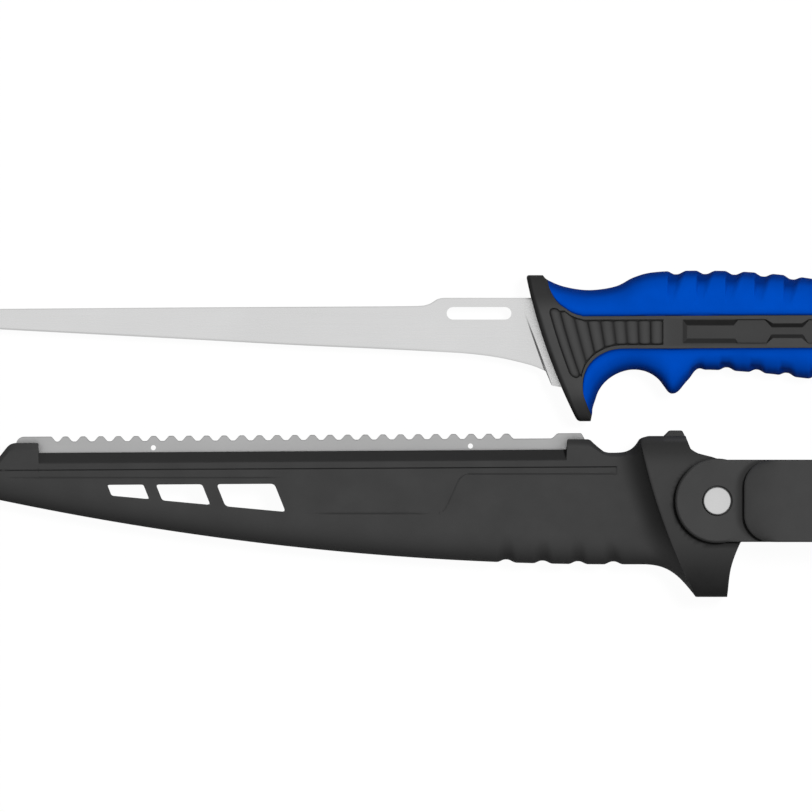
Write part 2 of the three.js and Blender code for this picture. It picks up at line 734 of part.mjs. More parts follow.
function sheathTop() {
  const path = new THREE.CurvePath();
  const lipStart = new THREE.Vector2(NOSE + 34, LIP_LEFT);
  const lipEnd = new THREE.Vector2(-LIP_RIGHT_AT, LIP_RIGHT);
  const collarStart = new THREE.Vector2(FLARE_LINE + guardFront(COLLAR_RISE) + 1.2, COLLAR_RISE);
  path.add(new THREE.SplineCurve([
    new THREE.Vector2(NOSE, NOSE_HIGH),
    new THREE.Vector2(NOSE + 4, NOSE_HIGH + 1.6),
    new THREE.Vector2(NOSE + 17, NOSE_HIGH + 3.2),
    lipStart,
  ]));
  path.add(new THREE.LineCurve(lipStart, lipEnd));
  path.add(new THREE.SplineCurve([
    lipEnd,
    new THREE.Vector2(-38, 14.8),
    new THREE.Vector2(-31.4, VALLEY_RISE),
    new THREE.Vector2(-27, VALLEY_RISE + 0.4),
    new THREE.Vector2(-24.3, VALLEY_RISE + 1.8),
    new THREE.Vector2(-22.6, VALLEY_RISE + 4.2),
    collarStart,
  ]));
  path.add(new THREE.LineCurve(collarStart, new THREE.Vector2(60, COLLAR_RISE)));
  return edgeLine(path, 400, sheathFade);
}

// The sheath's half thickness: a slim body, then the hollow flare up to the collar.
function sheathHalf(station) {
  const body = reading([
    [NOSE, NOSE_HALF],
    [NOSE + 3, NOSE_HALF + 1],
    [NOSE + 14, NOSE_HALF + 1.9],
    [NOSE + 60, BODY_HALF - 1.4],
    [NOSE + 130, BODY_HALF - 0.4],
    [-60, BODY_HALF],
  ], station);
  const rise = THREE.MathUtils.clamp((station - FLARE_LINE + FLARE_WIDTH) / FLARE_WIDTH, 0, 1);
  return THREE.MathUtils.lerp(body, COLLAR_HALF + 0.2, 1 - Math.sqrt(1 - rise * rise));
}

function sheathSkin() {
  const top = sheathTop();
  const bottom = sheathBottom();
  const stations = [NOSE + 0.1, NOSE + 0.9, NOSE + 2.4, NOSE + 6, NOSE + 12, NOSE + 20, NOSE + 34];
  const steps = 8;
  for (let i = 1; i <= steps; i += 1) {
    stations.push(THREE.MathUtils.lerp(NOSE + 34, -LIP_RIGHT_AT, i / steps));
  }
  stations.push(-38, -32, -28);
  for (const back of [6, 4.4, 3, 1.8, 0.9, 0.3, 0]) stations.push(FLARE_LINE - back);
  stations.push(FLARE_LINE + 2, FLARE_LINE + 8, 0, 16);
  const rings = stations.map((station) => {
    const square = THREE.MathUtils.smoothstep(station, FLARE_LINE - FLARE_WIDTH, FLARE_LINE);
    const low = edgeAt(bottom, station);
    const high = edgeAt(top, station);
    const squareLow = THREE.MathUtils.lerp(2.8, 6, square);
    const squareHigh = THREE.MathUtils.lerp(5, 6, square);
    const bow = GUARD_BOW * sheathFade(station);
    return ovalRing(low, high, sheathHalf(station), squareLow, squareHigh, bow, 18);
  });
  const flats = block(
    new THREE.Vector3(-REACH, -REACH, -COLLAR_HALF),
    new THREE.Vector3(REACH, REACH, COLLAR_HALF),
  );
  return loft(rings).intersect(flats);
}

// The mouth's rim in side view; everything right of it is cut off.
function rimOutline() {
  const shape = new THREE.Shape();
  shape.moveTo(REACH, -REACH);
  shape.lineTo(REACH, REACH);
  shape.lineTo(-9.4, REACH);
  shape.lineTo(-9, 18.3);
  shape.splineThru([
    new THREE.Vector2(-7.8, 15.3),
    new THREE.Vector2(-5.5, 13.95),
    new THREE.Vector2(-0.5, 12.6),
    new THREE.Vector2(6.2, 9.6),
    new THREE.Vector2(9.8, 4.4),
    new THREE.Vector2(10.6, -2),
    new THREE.Vector2(9.2, -8),
    new THREE.Vector2(6.3, -13.5),
    new THREE.Vector2(4, -20.1),
    new THREE.Vector2(2.8, -COLLAR_DROP),
  ]);
  shape.lineTo(2.8, -REACH);
  shape.closePath();
  return shape;
}

// The sleeve inside the sheath that the blade runs in.
function bladeChannel() {
  const bottom = sheathBottom();
  const shift = -GUARD_SEAT;
  const ceiling = [
    [CHANNEL_END, TIP_RISE + CHANNEL_FIT],
    [shift - HUMP_LENGTH - HUMP_RAMP - 4, SPINE_RISE + CHANNEL_FIT],
    [shift - HUMP_LENGTH - 2, HUMP_RISE + CHANNEL_FIT],
    [0, HUMP_RISE + CHANNEL_FIT],
  ];
  const stations = [CHANNEL_END];
  const steps = 12;
  const bodyEnd = shift - HUMP_LENGTH - HUMP_RAMP - 4;
  for (let i = 1; i <= steps; i += 1) {
    stations.push(THREE.MathUtils.lerp(CHANNEL_END, bodyEnd, i / steps));
  }
  stations.push(shift - HUMP_LENGTH - 2, -32, FLARE_LINE - 2, SEAT_FLOOR + 4);
  const rings = stations.map((station) => {
    const low = edgeAt(bottom, station).clone();
    low.y += BODY_WALL;
    const inFlare = station > FLARE_LINE - 6;
    if (inFlare) low.set(station + guardFront(-RICASSO_DROP), -RICASSO_DROP - GUARD_FIT);
    const high = new THREE.Vector2(0, reading(ceiling, station));
    high.x = station + guardFront(high.y) * sheathFade(station);
    const half = Math.min(sheathHalf(station), BODY_HALF) - BODY_WALL;
    return ovalRing(low, high, half, 4, 5, GUARD_BOW * sheathFade(station), 14);
  });
  return loft(rings);
}

// The socket in the sheath's mouth that the guard seats in.
function guardSocket() {
  const rings = [SEAT_FLOOR, SEAT_FLOOR + 8, 0, 30].map((station) => {
    const lowY = -GUARD_DROP - GUARD_FIT;
    const highY = GUARD_RISE + GUARD_FIT;
    const low = new THREE.Vector2(station + guardFront(lowY), lowY);
    const high = new THREE.Vector2(station + guardFront(highY), highY);
    return ovalRing(low, high, GUARD_HALF + GUARD_FIT, 7, 7, GUARD_BOW, 20);
  });
  return loft(rings);
}

// The windows cut through both shells.
function windowCuts() {
  const topAt = (x) => WINDOW_TOP + WINDOW_TOP_SLOPE * (x - NOSE - WINDOW_FROM_NOSE);
  const lowAt = (x) => WINDOW_LOW + WINDOW_LOW_SLOPE * (x - NOSE - WINDOW_FROM_NOSE - 1.3);
  const cuts = [];
  let left = NOSE + WINDOW_FROM_NOSE;
  for (const width of WINDOW_WIDTHS) {
    const right = left + width;
    const leftFoot = left + WINDOW_LEAN * (topAt(left) - lowAt(left));
    const rightFoot = right + WINDOW_LEAN * (topAt(right) - lowAt(right));
    const corners = [
      new THREE.Vector2(left, topAt(left)),
      new THREE.Vector2(leftFoot, lowAt(leftFoot)),
      new THREE.Vector2(rightFoot, lowAt(rightFoot)),
      new THREE.Vector2(right, topAt(right)),
    ];
    cuts.push(plate(roundedOutline(corners, WINDOW_CORNER), -BODY_HALF - 5, BODY_HALF + 5, 4));
    left = right + WINDOW_BRIDGE;
  }
  return cuts;
}

// A straight-sided outline with every corner rounded alike.
function roundedOutline(corners, radius) {
  const shape = new THREE.Shape();
  corners.forEach((corner, i) => {
    const before = corners[(i + corners.length - 1) % corners.length];
    const after = corners[(i + 1) % corners.length];
    const enter = corner.clone().add(before.clone().sub(corner).setLength(radius));
    const leave = corner.clone().add(after.clone().sub(corner).setLength(radius));
    if (i === 0) shape.moveTo(enter.x, enter.y);
    else shape.lineTo(enter.x, enter.y);
    shape.quadraticCurveTo(corner.x, corner.y, leave.x, leave.y);
  });
  shape.closePath();
  return shape;
}

// The scaler strip's side view, grown all round by a clearance.
function stripOutline(grow) {
  const left = NOSE + 25.4 - grow;
  const right = -STRIP_END + grow;
  const crest = (x) => lipLine(x) + STRIP_PROUD + grow;
  const root = (x) => crest(x) - TOOTH_DEPTH;
  const shape = new THREE.Shape();
  shape.moveTo(left, lipLine(left) - STRIP_HIDDEN - grow);
  shape.lineTo(-STRIP_STEP + grow, lipLine(-STRIP_STEP) - STRIP_HIDDEN - grow);
  shape.lineTo(-STRIP_STEP + grow, lipLine(-STRIP_STEP) - STRIP_HIDDEN + STRIP_STEP_RISE - grow);
  shape.lineTo(right, lipLine(right) - STRIP_HIDDEN + STRIP_STEP_RISE - grow);
  shape.lineTo(right, root(right) - 0.6);
  shape.lineTo(right - 1.2, root(right));
  shape.lineTo(right - 4, crest(right));
  shape.lineTo(right - 10, crest(right));
  shape.lineTo(right - 13, root(right - 13));
  const firstTooth = left + STRIP_FLAT + 0.9 * TOOTH_PITCH;
  const teeth = Math.floor((-TOOTH_LAST - firstTooth) / TOOTH_PITCH);
  for (let i = 0; i <= teeth; i += 1) {
    const x = -TOOTH_LAST - i * TOOTH_PITCH;
    const half = TOOTH_PITCH / 2;
    shape.lineTo(x + 0.66 * half, root(x));
    shape.lineTo(x + 0.3 * half, crest(x));
    shape.lineTo(x - 0.3 * half, crest(x));
    shape.lineTo(x - 0.66 * half, root(x));
  }
  shape.lineTo(left + STRIP_FLAT + 0.8, root(left));
  shape.lineTo(left + STRIP_FLAT, crest(left));
  shape.lineTo(left + 1.6, crest(left));
  shape.lineTo(left, crest(left) - 1.2);
  shape.closePath();
  return shape;
}

function makeStrip() {
  const half = STRIP_THICKNESS / 2;
  let strip = plate(stripOutline(0), -half, half);
  for (const back of STRIP_HOLES) {
    strip = strip.subtract(peg(-back, lipLine(-back) + 1.25, STRIP_HOLE, -half - 1, half + 1, 12));
  }
  for (const back of STRIP_KEYS) {
    const y = lipLine(-back) - KEY_HOLE_DROP;
    strip = strip.subtract(peg(-back, y, KEY_RADIUS + GAP, -half - 1, half + 1, 12));
  }
  return strip;
}

// The slot for the strip, crossed by the two keys that lock it.
function stripSlot() {
  const half = STRIP_THICKNESS / 2 + GAP;
  const outline = new THREE.Shape();
  const left = NOSE + 25.4 - GAP;
  const right = -STRIP_END + GAP;
  const deep = (x) => lipLine(x) - STRIP_HIDDEN - GAP;
  outline.moveTo(left, deep(left));
  outline.lineTo(-STRIP_STEP + GAP, deep(-STRIP_STEP));
  outline.lineTo(-STRIP_STEP + GAP, deep(-STRIP_STEP) + STRIP_STEP_RISE);
  outline.lineTo(right, deep(right) + STRIP_STEP_RISE);
  outline.lineTo(right, REACH);
  outline.lineTo(left, REACH);
  outline.closePath();
  let slot = plate(outline, -half, half);
  for (const back of STRIP_KEYS) {
    slot = slot.subtract(peg(-back, lipLine(-back) - KEY_HOLE_DROP, KEY_RADIUS, -half - 1, half + 1, 12));
  }
  return slot;
}

function blockOutline(points) {
  const shape = new THREE.Shape();
  points.forEach(([x, y], i) => (i === 0 ? shape.moveTo(x, y) : shape.lineTo(x, y)));
  shape.closePath();
  return shape;
}

function makeShells() {
  let body = sheathSkin();
  const leftEnd = NOSE + 31.7;
  const leftBlock = blockOutline([
    [leftEnd - 16, lipLine(leftEnd) - 6], [leftEnd, lipLine(leftEnd) - 6],
    [leftEnd, BLOCK_LEFT_RISE], [leftEnd - 7, BLOCK_LEFT_RISE],
    [leftEnd - 8.6, BLOCK_LEFT_RISE - 0.7], [leftEnd - 11.2, BLOCK_LEFT_RISE - 4],
  ]);
  const rightBlock = blockOutline([
    [-44.1, VALLEY_RISE - 4], [-33.2, VALLEY_RISE - 4], [-33.2, VALLEY_RISE + 0.3],
    [-37.6, BLOCK_RIGHT_RISE], [-44.1, BLOCK_RIGHT_RISE],
  ]);
  const tab = blockOutline([
    [-17.5, COLLAR_RISE - 1.5], [-9.2, COLLAR_RISE - 1.5], [-9, 18.3], [-10.2, TAB_RISE - 0.5],
    [-11.4, TAB_RISE], [-13.4, TAB_RISE], [-14.9, COLLAR_RISE + 0.8], [-16.2, COLLAR_RISE],
  ]);
  body = body.add(plate(leftBlock, -BLOCK_HALF, BLOCK_HALF));
  body = body.add(plate(rightBlock, -BLOCK_HALF, BLOCK_HALF));
  body = body.add(plate(tab, -TAB_HALF, TAB_HALF));
  body = body.subtract(plate(rimOutline(), -COLLAR_HALF - 5, COLLAR_HALF + 5, 20));
  body = body.subtract(bladeChannel().add(guardSocket()));
  for (const cut of windowCuts()) body = body.subtract(cut);
  for (let i = 0; i < SCALLOPS; i += 1) {
    const x = -SCALLOP_FIRST - i * SCALLOP_PITCH;
    const y = bellyLine(x) + SCALLOP_DEPTH - SCALLOP_RADIUS;
    body = body.subtract(peg(x, y, SCALLOP_RADIUS, -BODY_HALF - 3, BODY_HALF + 3, 24));
  }
  body = body.subtract(stripSlot());

  const front = block(
    new THREE.Vector3(-REACH, -REACH, PARTING_GAP / 2),
    new THREE.Vector3(REACH, REACH, REACH),
  );
  const back = block(
    new THREE.Vector3(-REACH, -REACH, -REACH),
    new THREE.Vector3(REACH, REACH, -PARTING_GAP / 2),
  );
  const socketFace = GUARD_HALF + GUARD_FIT;
  const recess = RIVET_TAIL_HEIGHT + RIVET_WASHER_THICKNESS + 2 * SEAT_GAP + 0.2;
  const seat = peg(0, 0, RIVET_WASHER_RADIUS + GAP, socketFace - 2, socketFace + recess, 28);
  const bore = peg(0, 0, RIVET_RADIUS + GAP, socketFace - 2, COLLAR_HALF + 2, 24);
  return {
    front: body.intersect(front).subtract(seat).subtract(bore),
    back: body.intersect(back),
  };
}

// Belt loop, rivet and washers

function makeLoop() {
  const half = LOOP_HALF_WIDTH;
  const end = LOOP_LENGTH;
  const lower = new THREE.Shape();
  const meet = Math.asin(half / DISC_RADIUS);
  lower.moveTo(end - LOOP_CORNER, half);
  lower.lineTo(DISC_RADIUS * Math.cos(meet), half);
  lower.absarc(0, 0, DISC_RADIUS, meet, 2 * Math.PI - meet, false);
  lower.lineTo(end - LOOP_CORNER, -half);
  lower.absarc(end - LOOP_CORNER, -half + LOOP_CORNER, LOOP_CORNER, -Math.PI / 2, 0, false);
  lower.absarc(end - LOOP_CORNER, half - LOOP_CORNER, LOOP_CORNER, 0, Math.PI / 2, false);
  lower.closePath();

  const raisedCentre = RAISED_START + RAISED_RADIUS;
  const turn = Math.PI - Math.asin(half / RAISED_RADIUS);
  const raised = new THREE.Shape();
  raised.moveTo(end - LOOP_CORNER, half);
  raised.absarc(raisedCentre, 0, RAISED_RADIUS, turn, 2 * Math.PI - turn, false);
  raised.absarc(end - LOOP_CORNER, -half + LOOP_CORNER, LOOP_CORNER, -Math.PI / 2, 0, false);
  raised.absarc(end - LOOP_CORNER, half - LOOP_CORNER, LOOP_CORNER, 0, Math.PI / 2, false);
  raised.closePath();

  const slotLow = new THREE.Vector3(RAISED_START + LOOP_ROOT, -half - 5, DISC_TOP);
  const slotHigh = new THREE.Vector3(end - LOOP_END_WALL, half + 5, RAISED_BOTTOM);
  return plate(lower, DISC_BOTTOM, DISC_TOP, 14)
    .add(plate(raised, DISC_TOP - 0.5, RAISED_TOP, 10))
    .subtract(block(slotLow, slotHigh))
    .subtract(peg(0, 0, RIVET_RADIUS + GAP, DISC_BOTTOM - 1, DISC_TOP + 1, 24));
}

function makeRivet() {
  const face = GUARD_HALF + GUARD_FIT;
  const tailLow = face + 0.1;
  const tailHigh = tailLow + RIVET_TAIL_HEIGHT;
  const headLow = DISC_TOP + SEAT_GAP;
  const profile = [
    new THREE.Vector2(0, tailLow),
    new THREE.Vector2(RIVET_TAIL_RADIUS, tailLow),
    new THREE.Vector2(RIVET_TAIL_RADIUS, tailHigh),
    new THREE.Vector2(RIVET_RADIUS, tailHigh),
    new THREE.Vector2(RIVET_RADIUS, headLow),
    new THREE.Vector2(RIVET_HEAD_RADIUS, headLow),
    new THREE.Vector2(RIVET_HEAD_RADIUS, headLow + 0.35 * RIVET_HEAD_HEIGHT),
    new THREE.Vector2(0.85 * RIVET_HEAD_RADIUS, headLow + 0.75 * RIVET_HEAD_HEIGHT),
    new THREE.Vector2(0.5 * RIVET_HEAD_RADIUS, headLow + 0.95 * RIVET_HEAD_HEIGHT),
    new THREE.Vector2(0, headLow + RIVET_HEAD_HEIGHT),
  ];
  const geometry = new THREE.LatheGeometry(profile, 28);
  geometry.rotateX(Math.PI / 2);
  return toSolid(geometry);
}

function makeWasher(outer, inner, low, high) {
  return peg(0, 0, outer, low, high, 28).subtract(peg(0, 0, inner, low - 1, high + 1, 24));
}

// Finishes

function finish(colour, roughness, metalness) {
  return new THREE.MeshStandardMaterial({ color: colour, roughness, metalness });
}

function addPiece(group, name, solid, material) {
  const mesh = new THREE.Mesh(toGeometry(solid), material);
  mesh.name = name;
  group.add(mesh);
}

// Assembly

const knife = new THREE.Group();
knife.name = 'knife';
const handle = makeHandle();
addPiece(knife, 'blade', makeBlade(), finish(0xd6d6d6, 0.35, 1));
addPiece(knife, 'handle_core', handle.core, finish(0x424242, 0.6, 0));
addPiece(knife, 'blue_grip', handle.grip, finish(0x004bbe, 0.55, 0));

const sheath = new THREE.Group();
sheath.name = 'sheath';
const shells = makeShells();
const socketFace = GUARD_HALF + GUARD_FIT;
const rivetWasherLow = socketFace + 0.1 + RIVET_TAIL_HEIGHT + SEAT_GAP;
addPiece(sheath, 'sheath_front_shell', shells.front, finish(0x424242, 0.6, 0));
addPiece(sheath, 'sheath_back_shell', shells.back, finish(0x424242, 0.6, 0));
addPiece(sheath, 'scaler_strip', makeStrip(), finish(0xa5a5a5, 0.45, 1));
addPiece(sheath, 'belt_loop', makeLoop(), finish(0x404040, 0.6, 0));
addPiece(sheath, 'pivot_rivet', makeRivet(), finish(0xd0d0d0, 0.3, 1));
addPiece(sheath, 'rivet_washer', makeWasher(
  RIVET_WASHER_RADIUS, RIVET_RADIUS + GAP, rivetWasherLow, rivetWasherLow + RIVET_WASHER_THICKNESS,
), finish(0xb8b8b8, 0.4, 1));
addPiece(sheath, 'swivel_washer', makeWasher(
  SWIVEL_WASHER_RADIUS, RIVET_RADIUS + GAP, WASHER_BOTTOM, WASHER_BOTTOM + SWIVEL_WASHER_THICKNESS,
), finish(0x1c1c1c, 0.5, 0));

// The whole rests on the table with its box centred on the origin.
const centreX = (HANDLE_LENGTH - BLADE_LENGTH) / 2;
const centreY = (CREST_RISE - SHEATH_BELOW - COLLAR_DROP) / 2;
knife.position.set(-centreX, -centreY, HANDLE_HALF);
sheath.position.set(SHEATH_RIGHT - centreX, -SHEATH_BELOW - centreY, COLLAR_HALF);

const part = new THREE.Group();
part.name = 'fillet_knife';
part.add(knife, sheath);

export default part;
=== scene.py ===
"""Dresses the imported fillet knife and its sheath, and sets the studio and the camera.

Shapes are worked out in millimetres in two frames of their own. The knife's frame starts where the
guard's front crosses the handle's axis, and the sheath's frame on the axis of the belt loop's rivet.
In both, +X runs towards the butt, +Y up the picture and +Z towards the camera.
"""

from __future__ import annotations

import logging
import math
from abc import ABC, abstractmethod
from dataclasses import dataclass, field
from enum import Enum
from functools import cache

import bmesh
import bpy
import numpy as np
from bpy.types import ID, Material, Node, NodeSocket, NodeTree, Object
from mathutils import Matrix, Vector

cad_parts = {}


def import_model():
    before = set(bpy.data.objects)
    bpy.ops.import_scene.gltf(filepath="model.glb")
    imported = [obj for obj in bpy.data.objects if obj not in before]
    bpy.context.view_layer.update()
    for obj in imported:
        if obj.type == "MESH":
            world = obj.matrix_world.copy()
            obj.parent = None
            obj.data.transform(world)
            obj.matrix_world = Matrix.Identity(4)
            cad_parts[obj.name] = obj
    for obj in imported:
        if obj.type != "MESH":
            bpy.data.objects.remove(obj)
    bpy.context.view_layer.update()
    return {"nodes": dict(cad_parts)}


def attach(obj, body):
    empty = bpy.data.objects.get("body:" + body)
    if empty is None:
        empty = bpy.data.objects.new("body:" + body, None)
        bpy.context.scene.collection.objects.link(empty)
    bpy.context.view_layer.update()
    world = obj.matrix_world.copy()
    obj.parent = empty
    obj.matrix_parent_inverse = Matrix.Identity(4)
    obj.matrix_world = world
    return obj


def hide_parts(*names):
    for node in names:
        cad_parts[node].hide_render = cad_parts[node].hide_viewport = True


LOG = logging.getLogger("fillet_knife")
Array = np.ndarray
Colour = tuple[float, float, float]
Line = list[tuple[float, float]]
MILLIMETRE = 0.001
MIRROR = np.array([1.0, 1.0, -1.0])


class Face(Enum):
    """The two broad sides of a flat piece: the one that the camera sees and the one on the table."""

    FRONT = 1.0
    BACK = -1.0


class Body(Enum):
    """The CAD bodies that pieces ride on."""

    KNIFE = "knife"
    SHEATH = "sheath"
    LOOP = "belt_loop"


# Numbers and arrays


def unit(values: Array) -> Array:
    """Keeps values between 0 and 1."""
    return np.clip(values, 0.0, 1.0)


def join(*axes: Array) -> Array:
    """Makes points from their coordinates."""
    return np.stack(np.broadcast_arrays(*axes), axis=-1)


def chain(*parts: Array) -> Array:
    """Puts arrays one after the other along their rows."""
    return np.concatenate(parts)


def beside(*parts: Array) -> Array:
    """Puts arrays side by side along their columns."""
    return np.concatenate(parts, axis=1)


def signed_power(values: Array, power: Array) -> Array:
    """Raises sizes to a power and keeps their signs."""
    return np.sign(values) * np.abs(values) ** power


def smooth(values: Array, low: float | Array, high: float | Array) -> Array:
    """Rises from 0 at low to 1 at high with level ends: 3t^2 - 2t^3 of the share t of the way."""
    share = unit((values - low) / (high - low))
    return share * share * (3.0 - 2.0 * share)


def taper(values: Array, low: float | Array, high: float | Array) -> Array:
    """Falls from 1 at low to 0 at high, as 1 less the smooth rise."""
    return 1.0 - smooth(values, low, high)


def round_off(past: Array, radius: float) -> Array:
    """Gives how far a quarter circle has fallen at a way past its start, r - sqrt(r^2 - past^2)."""
    return radius - np.sqrt(np.maximum(radius**2 - np.clip(past, 0.0, radius) ** 2, 0.0))


def follow(line: Array | Line, at: Array) -> Array:
    """Reads the height of a line of points at places along it."""
    points = np.asarray(line)
    return np.interp(at, points[:, 0], points[:, 1])


def soft_least(first: Array, second: float | Array, blend: float) -> Array:
    """Takes the lesser of two values, with a round as wide as the blend where they cross."""
    return 0.5 * (first + second - np.sqrt((first - second) ** 2 + blend**2))


def edge_round(depth: Array, radius: float | Array, power: float | Array = 2.0) -> Array:
    """Gives an edge's rise from 0 on the outline to 1 at its radius, an ellipse with a power of 2."""
    share = unit(1.0 - depth / radius)
    return (1.0 - share**power) ** (1.0 / power)


def spline(points: Line, count: int) -> Array:
    """Runs a smooth line through points.

    Args:
        points: The points in order.
        count: How many points the line gets.

    Returns:
        Points of the Catmull-Rom curve, which passes each point along the chord of its neighbours.
    """
    knots = np.asarray(points, dtype=float)
    padded = np.vstack([2 * knots[0] - knots[1], knots, 2 * knots[-1] - knots[-2]])
    place = np.linspace(0.0, len(knots) - 1.0, count)
    base = np.minimum(place.astype(int), len(knots) - 2)
    t = (place - base)[:, None]
    a, b, c, d = (padded[base + step] for step in range(4))
    return 0.5 * (
        2 * b + (c - a) * t + (2 * a - 5 * b + 4 * c - d) * t**2 + (3 * b - a - 3 * c + d) * t**3
    )


def bezier(points: Line, count: int) -> Array:
    """Draws a Bezier curve.

    Args:
        points: Its control points.
        count: How many points the line gets.

    Returns:
        Points of the curve, found by blending neighbours until one is left.
    """
    t = np.linspace(0.0, 1.0, count)[:, None]
    layers = [np.asarray(point, dtype=float)[None, :] for point in points]
    while len(layers) > 1:
        layers = [a * (1 - t) + b * t for a, b in zip(layers[:-1], layers[1:])]
    return layers[0]


def arc(centre: tuple[float, float], radius: float, start: float, end: float, count: int) -> Array:
    """Draws part of a circle from one angle in degrees to another, with points at even angles."""
    angle = np.radians(np.linspace(start, end, count))
    return np.asarray(centre) + radius * join(np.cos(angle), np.sin(angle))


def runs(*stretches: tuple[float, float, float]) -> Array:
    """Joins evenly stepped stretches into one rising list of places.

    Args:
        stretches: The start, the end and the step of each stretch.

    Returns:
        All places, without repeats.
    """
    parts = [np.linspace(a, b, max(2, int(round((b - a) / step)) + 1)) for a, b, step in stretches]
    joined = chain(*parts)
    return joined[chain([True], np.diff(joined) > 1e-6)]


# Meshes


@dataclass(frozen=True)
class Place:
    """Where a frame of millimetres starts in the row frame."""

    x: float
    y: float
    z: float

    def to_row(self, points: Array) -> Array:
        """Moves points into the row frame, in metres."""
        return (points + np.array([self.x, self.y, self.z])) * MILLIMETRE


def add_object(name: str, data: ID) -> Object:
    """Adds an object to the scene.

    Args:
        name: The object's name.
        data: Its mesh, lamp or camera.

    Returns:
        The new object.
    """
    made = bpy.data.objects.new(name, data)
    bpy.context.scene.collection.objects.link(made)
    return made


class Skin:
    """The faces of one piece, gathered from grids of points in millimetres."""

    WELD = 0.002
    SHARP = math.radians(42.0)

    def __init__(self) -> None:
        """Starts with no faces."""
        self._points: list[Array] = []
        self._hollow: list[Array] = []
        self._quads: list[Array] = []
        self._count = 0

    def grid(
        self, points: Array, around: bool = False, keep: Array | None = None, hollow: Array | None = None
    ) -> None:
        """Adds a grid of points and the quads between them.

        Args:
            points: Rows by columns by 3.
            around: Whether the last column joins the first.
            keep: Which cells get a face, all of them by default.
            hollow: How much painted shade each point gets, 0 to 1, for the material.
        """
        rows, columns = points.shape[:2]
        index = self._count + np.arange(rows * columns).reshape(rows, columns)
        if around:
            index = np.hstack([index, index[:, :1]])
        corners = [index[:-1, :-1], index[1:, :-1], index[1:, 1:], index[:-1, 1:]]
        quads = join(*corners)
        if keep is not None:
            quads = quads[keep]
        self._quads.append(quads.reshape(-1, 4))
        self._points.append(points.reshape(-1, 3))
        sunk = np.zeros(rows * columns) if hollow is None else unit(hollow).ravel()
        self._hollow.append(sunk)
        self._count += rows * columns

    def bridge(self, first: Array, second: Array, hollow: Array, steps: int = 1) -> None:
        """Fills between two lines of as many points with straight steps.

        Args:
            first: One line's points.
            second: The other line's points.
            hollow: How much painted shade the points get, for the material.
            steps: How many rows of faces lie between the lines.
        """
        share = np.linspace(0.0, 1.0, steps + 1)[:, None, None]
        between = first[None] * (1 - share) + second[None] * share
        self.grid(between, hollow=np.broadcast_to(hollow, between.shape[:2]))

    def close_borders(self, front: Array, back: Array, hollow: Array | None = None) -> None:
        """Joins two grids of like size along all four borders.

        Args:
            front: One grid's points.
            back: The other grid's points.
            hollow: How much painted shade the points get, none by default.
        """
        sunk = np.zeros(front.shape[:2]) if hollow is None else hollow
        for end in (0, -1):
            self.bridge(front[:, end], back[:, end], sunk[:, end])
            self.bridge(front[end], back[end], sunk[end])

    def _even_hollow(self, points: Array) -> Array:
        """Gives points that are about to be welded the greatest painted shade among them.

        Args:
            points: All points in order.

        Returns:
            One value for each point.
        """
        sunk = chain(*self._hollow)
        _, same = np.unique(np.round(points / self.WELD), axis=0, return_inverse=True)
        most = np.zeros(len(points))
        np.maximum.at(most, same.ravel(), sunk)
        return most[same.ravel()]

    def make(self, name: str, place: Place) -> Object:
        """Welds the grids into a mesh object whose faces point outwards.

        Args:
            name: The object's name.
            place: Where the piece's frame lies in the row frame.

        Returns:
            The new object, linked to the scene.
        """
        mesh = bpy.data.meshes.new(name)
        points = np.vstack(self._points)
        mesh.from_pydata(place.to_row(points), [], np.vstack(self._quads).tolist())
        # The hollow attribute carries each point's painted shade to the material.
        layer = mesh.attributes.new("hollow", "FLOAT", "POINT")
        layer.data.foreach_set("value", self._even_hollow(points).astype(np.float32))
        work = bmesh.new()
        work.from_mesh(mesh)
        bmesh.ops.remove_doubles(work, verts=work.verts, dist=self.WELD * MILLIMETRE)
        bmesh.ops.dissolve_degenerate(work, edges=work.edges, dist=1e-7)
        bmesh.ops.recalc_face_normals(work, faces=work.faces)
        work.to_mesh(mesh)
        work.free()
        mesh.shade_smooth()
        mesh.set_sharp_from_angle(angle=self.SHARP)
        return add_object(name, mesh)


def pierce(along: Array, x: Array, y: Array, hole: Array, hole_along: Array) -> tuple[Array, Array]:
    """Clears a block of a grid's cells and fills it with rings that close in on a hole.

    Args:
        along: The place of each row along the piece.
        x: The grid's x, rows by columns.
        y: The grid's y, rising along each row.
        hole: The hole's outline, points by 2.
        hole_along: The place of each outline point along the piece.

    Returns:
        The cells that stay, and the rings from the block's border to the hole, rings by points by 2.
    """
    margin = 0.25
    first = np.searchsorted(along, hole_along.min() - margin) - 1
    last = np.searchsorted(along, hole_along.max() + margin)
    block = y[first : last + 1]
    low = np.nonzero(np.all(block <= hole[:, 1].min() - margin, axis=0))[0].max()
    high = np.nonzero(np.all(block >= hole[:, 1].max() + margin, axis=0))[0].min()
    keep = np.ones((x.shape[0] - 1, x.shape[1] - 1), dtype=bool)
    keep[first:last, low:high] = False
    wide, tall = high - low, last - first
    rows = [np.full(wide, first), np.arange(first, last), np.full(wide, last), np.arange(last, first, -1)]
    columns = [np.arange(low, high), np.full(tall, high), np.arange(high, low, -1), np.full(tall, low)]
    row, column = chain(*rows), chain(*columns)
    border = join(x[row, column], y[row, column])
    middle = 0.5 * (hole.min(axis=0) + hole.max(axis=0))
    turn = np.arctan2(hole[:, 1] - middle[1], hole[:, 0] - middle[0])
    look = np.arctan2(border[:, 1] - middle[1], border[:, 0] - middle[0])
    inner = [np.interp(look, turn, hole[:, axis], period=2 * np.pi) for axis in range(2)]
    share = np.linspace(0.0, 1.0, 5)[:, None, None]
    return keep, border[None] * (1 - share) + join(*inner)[None] * share


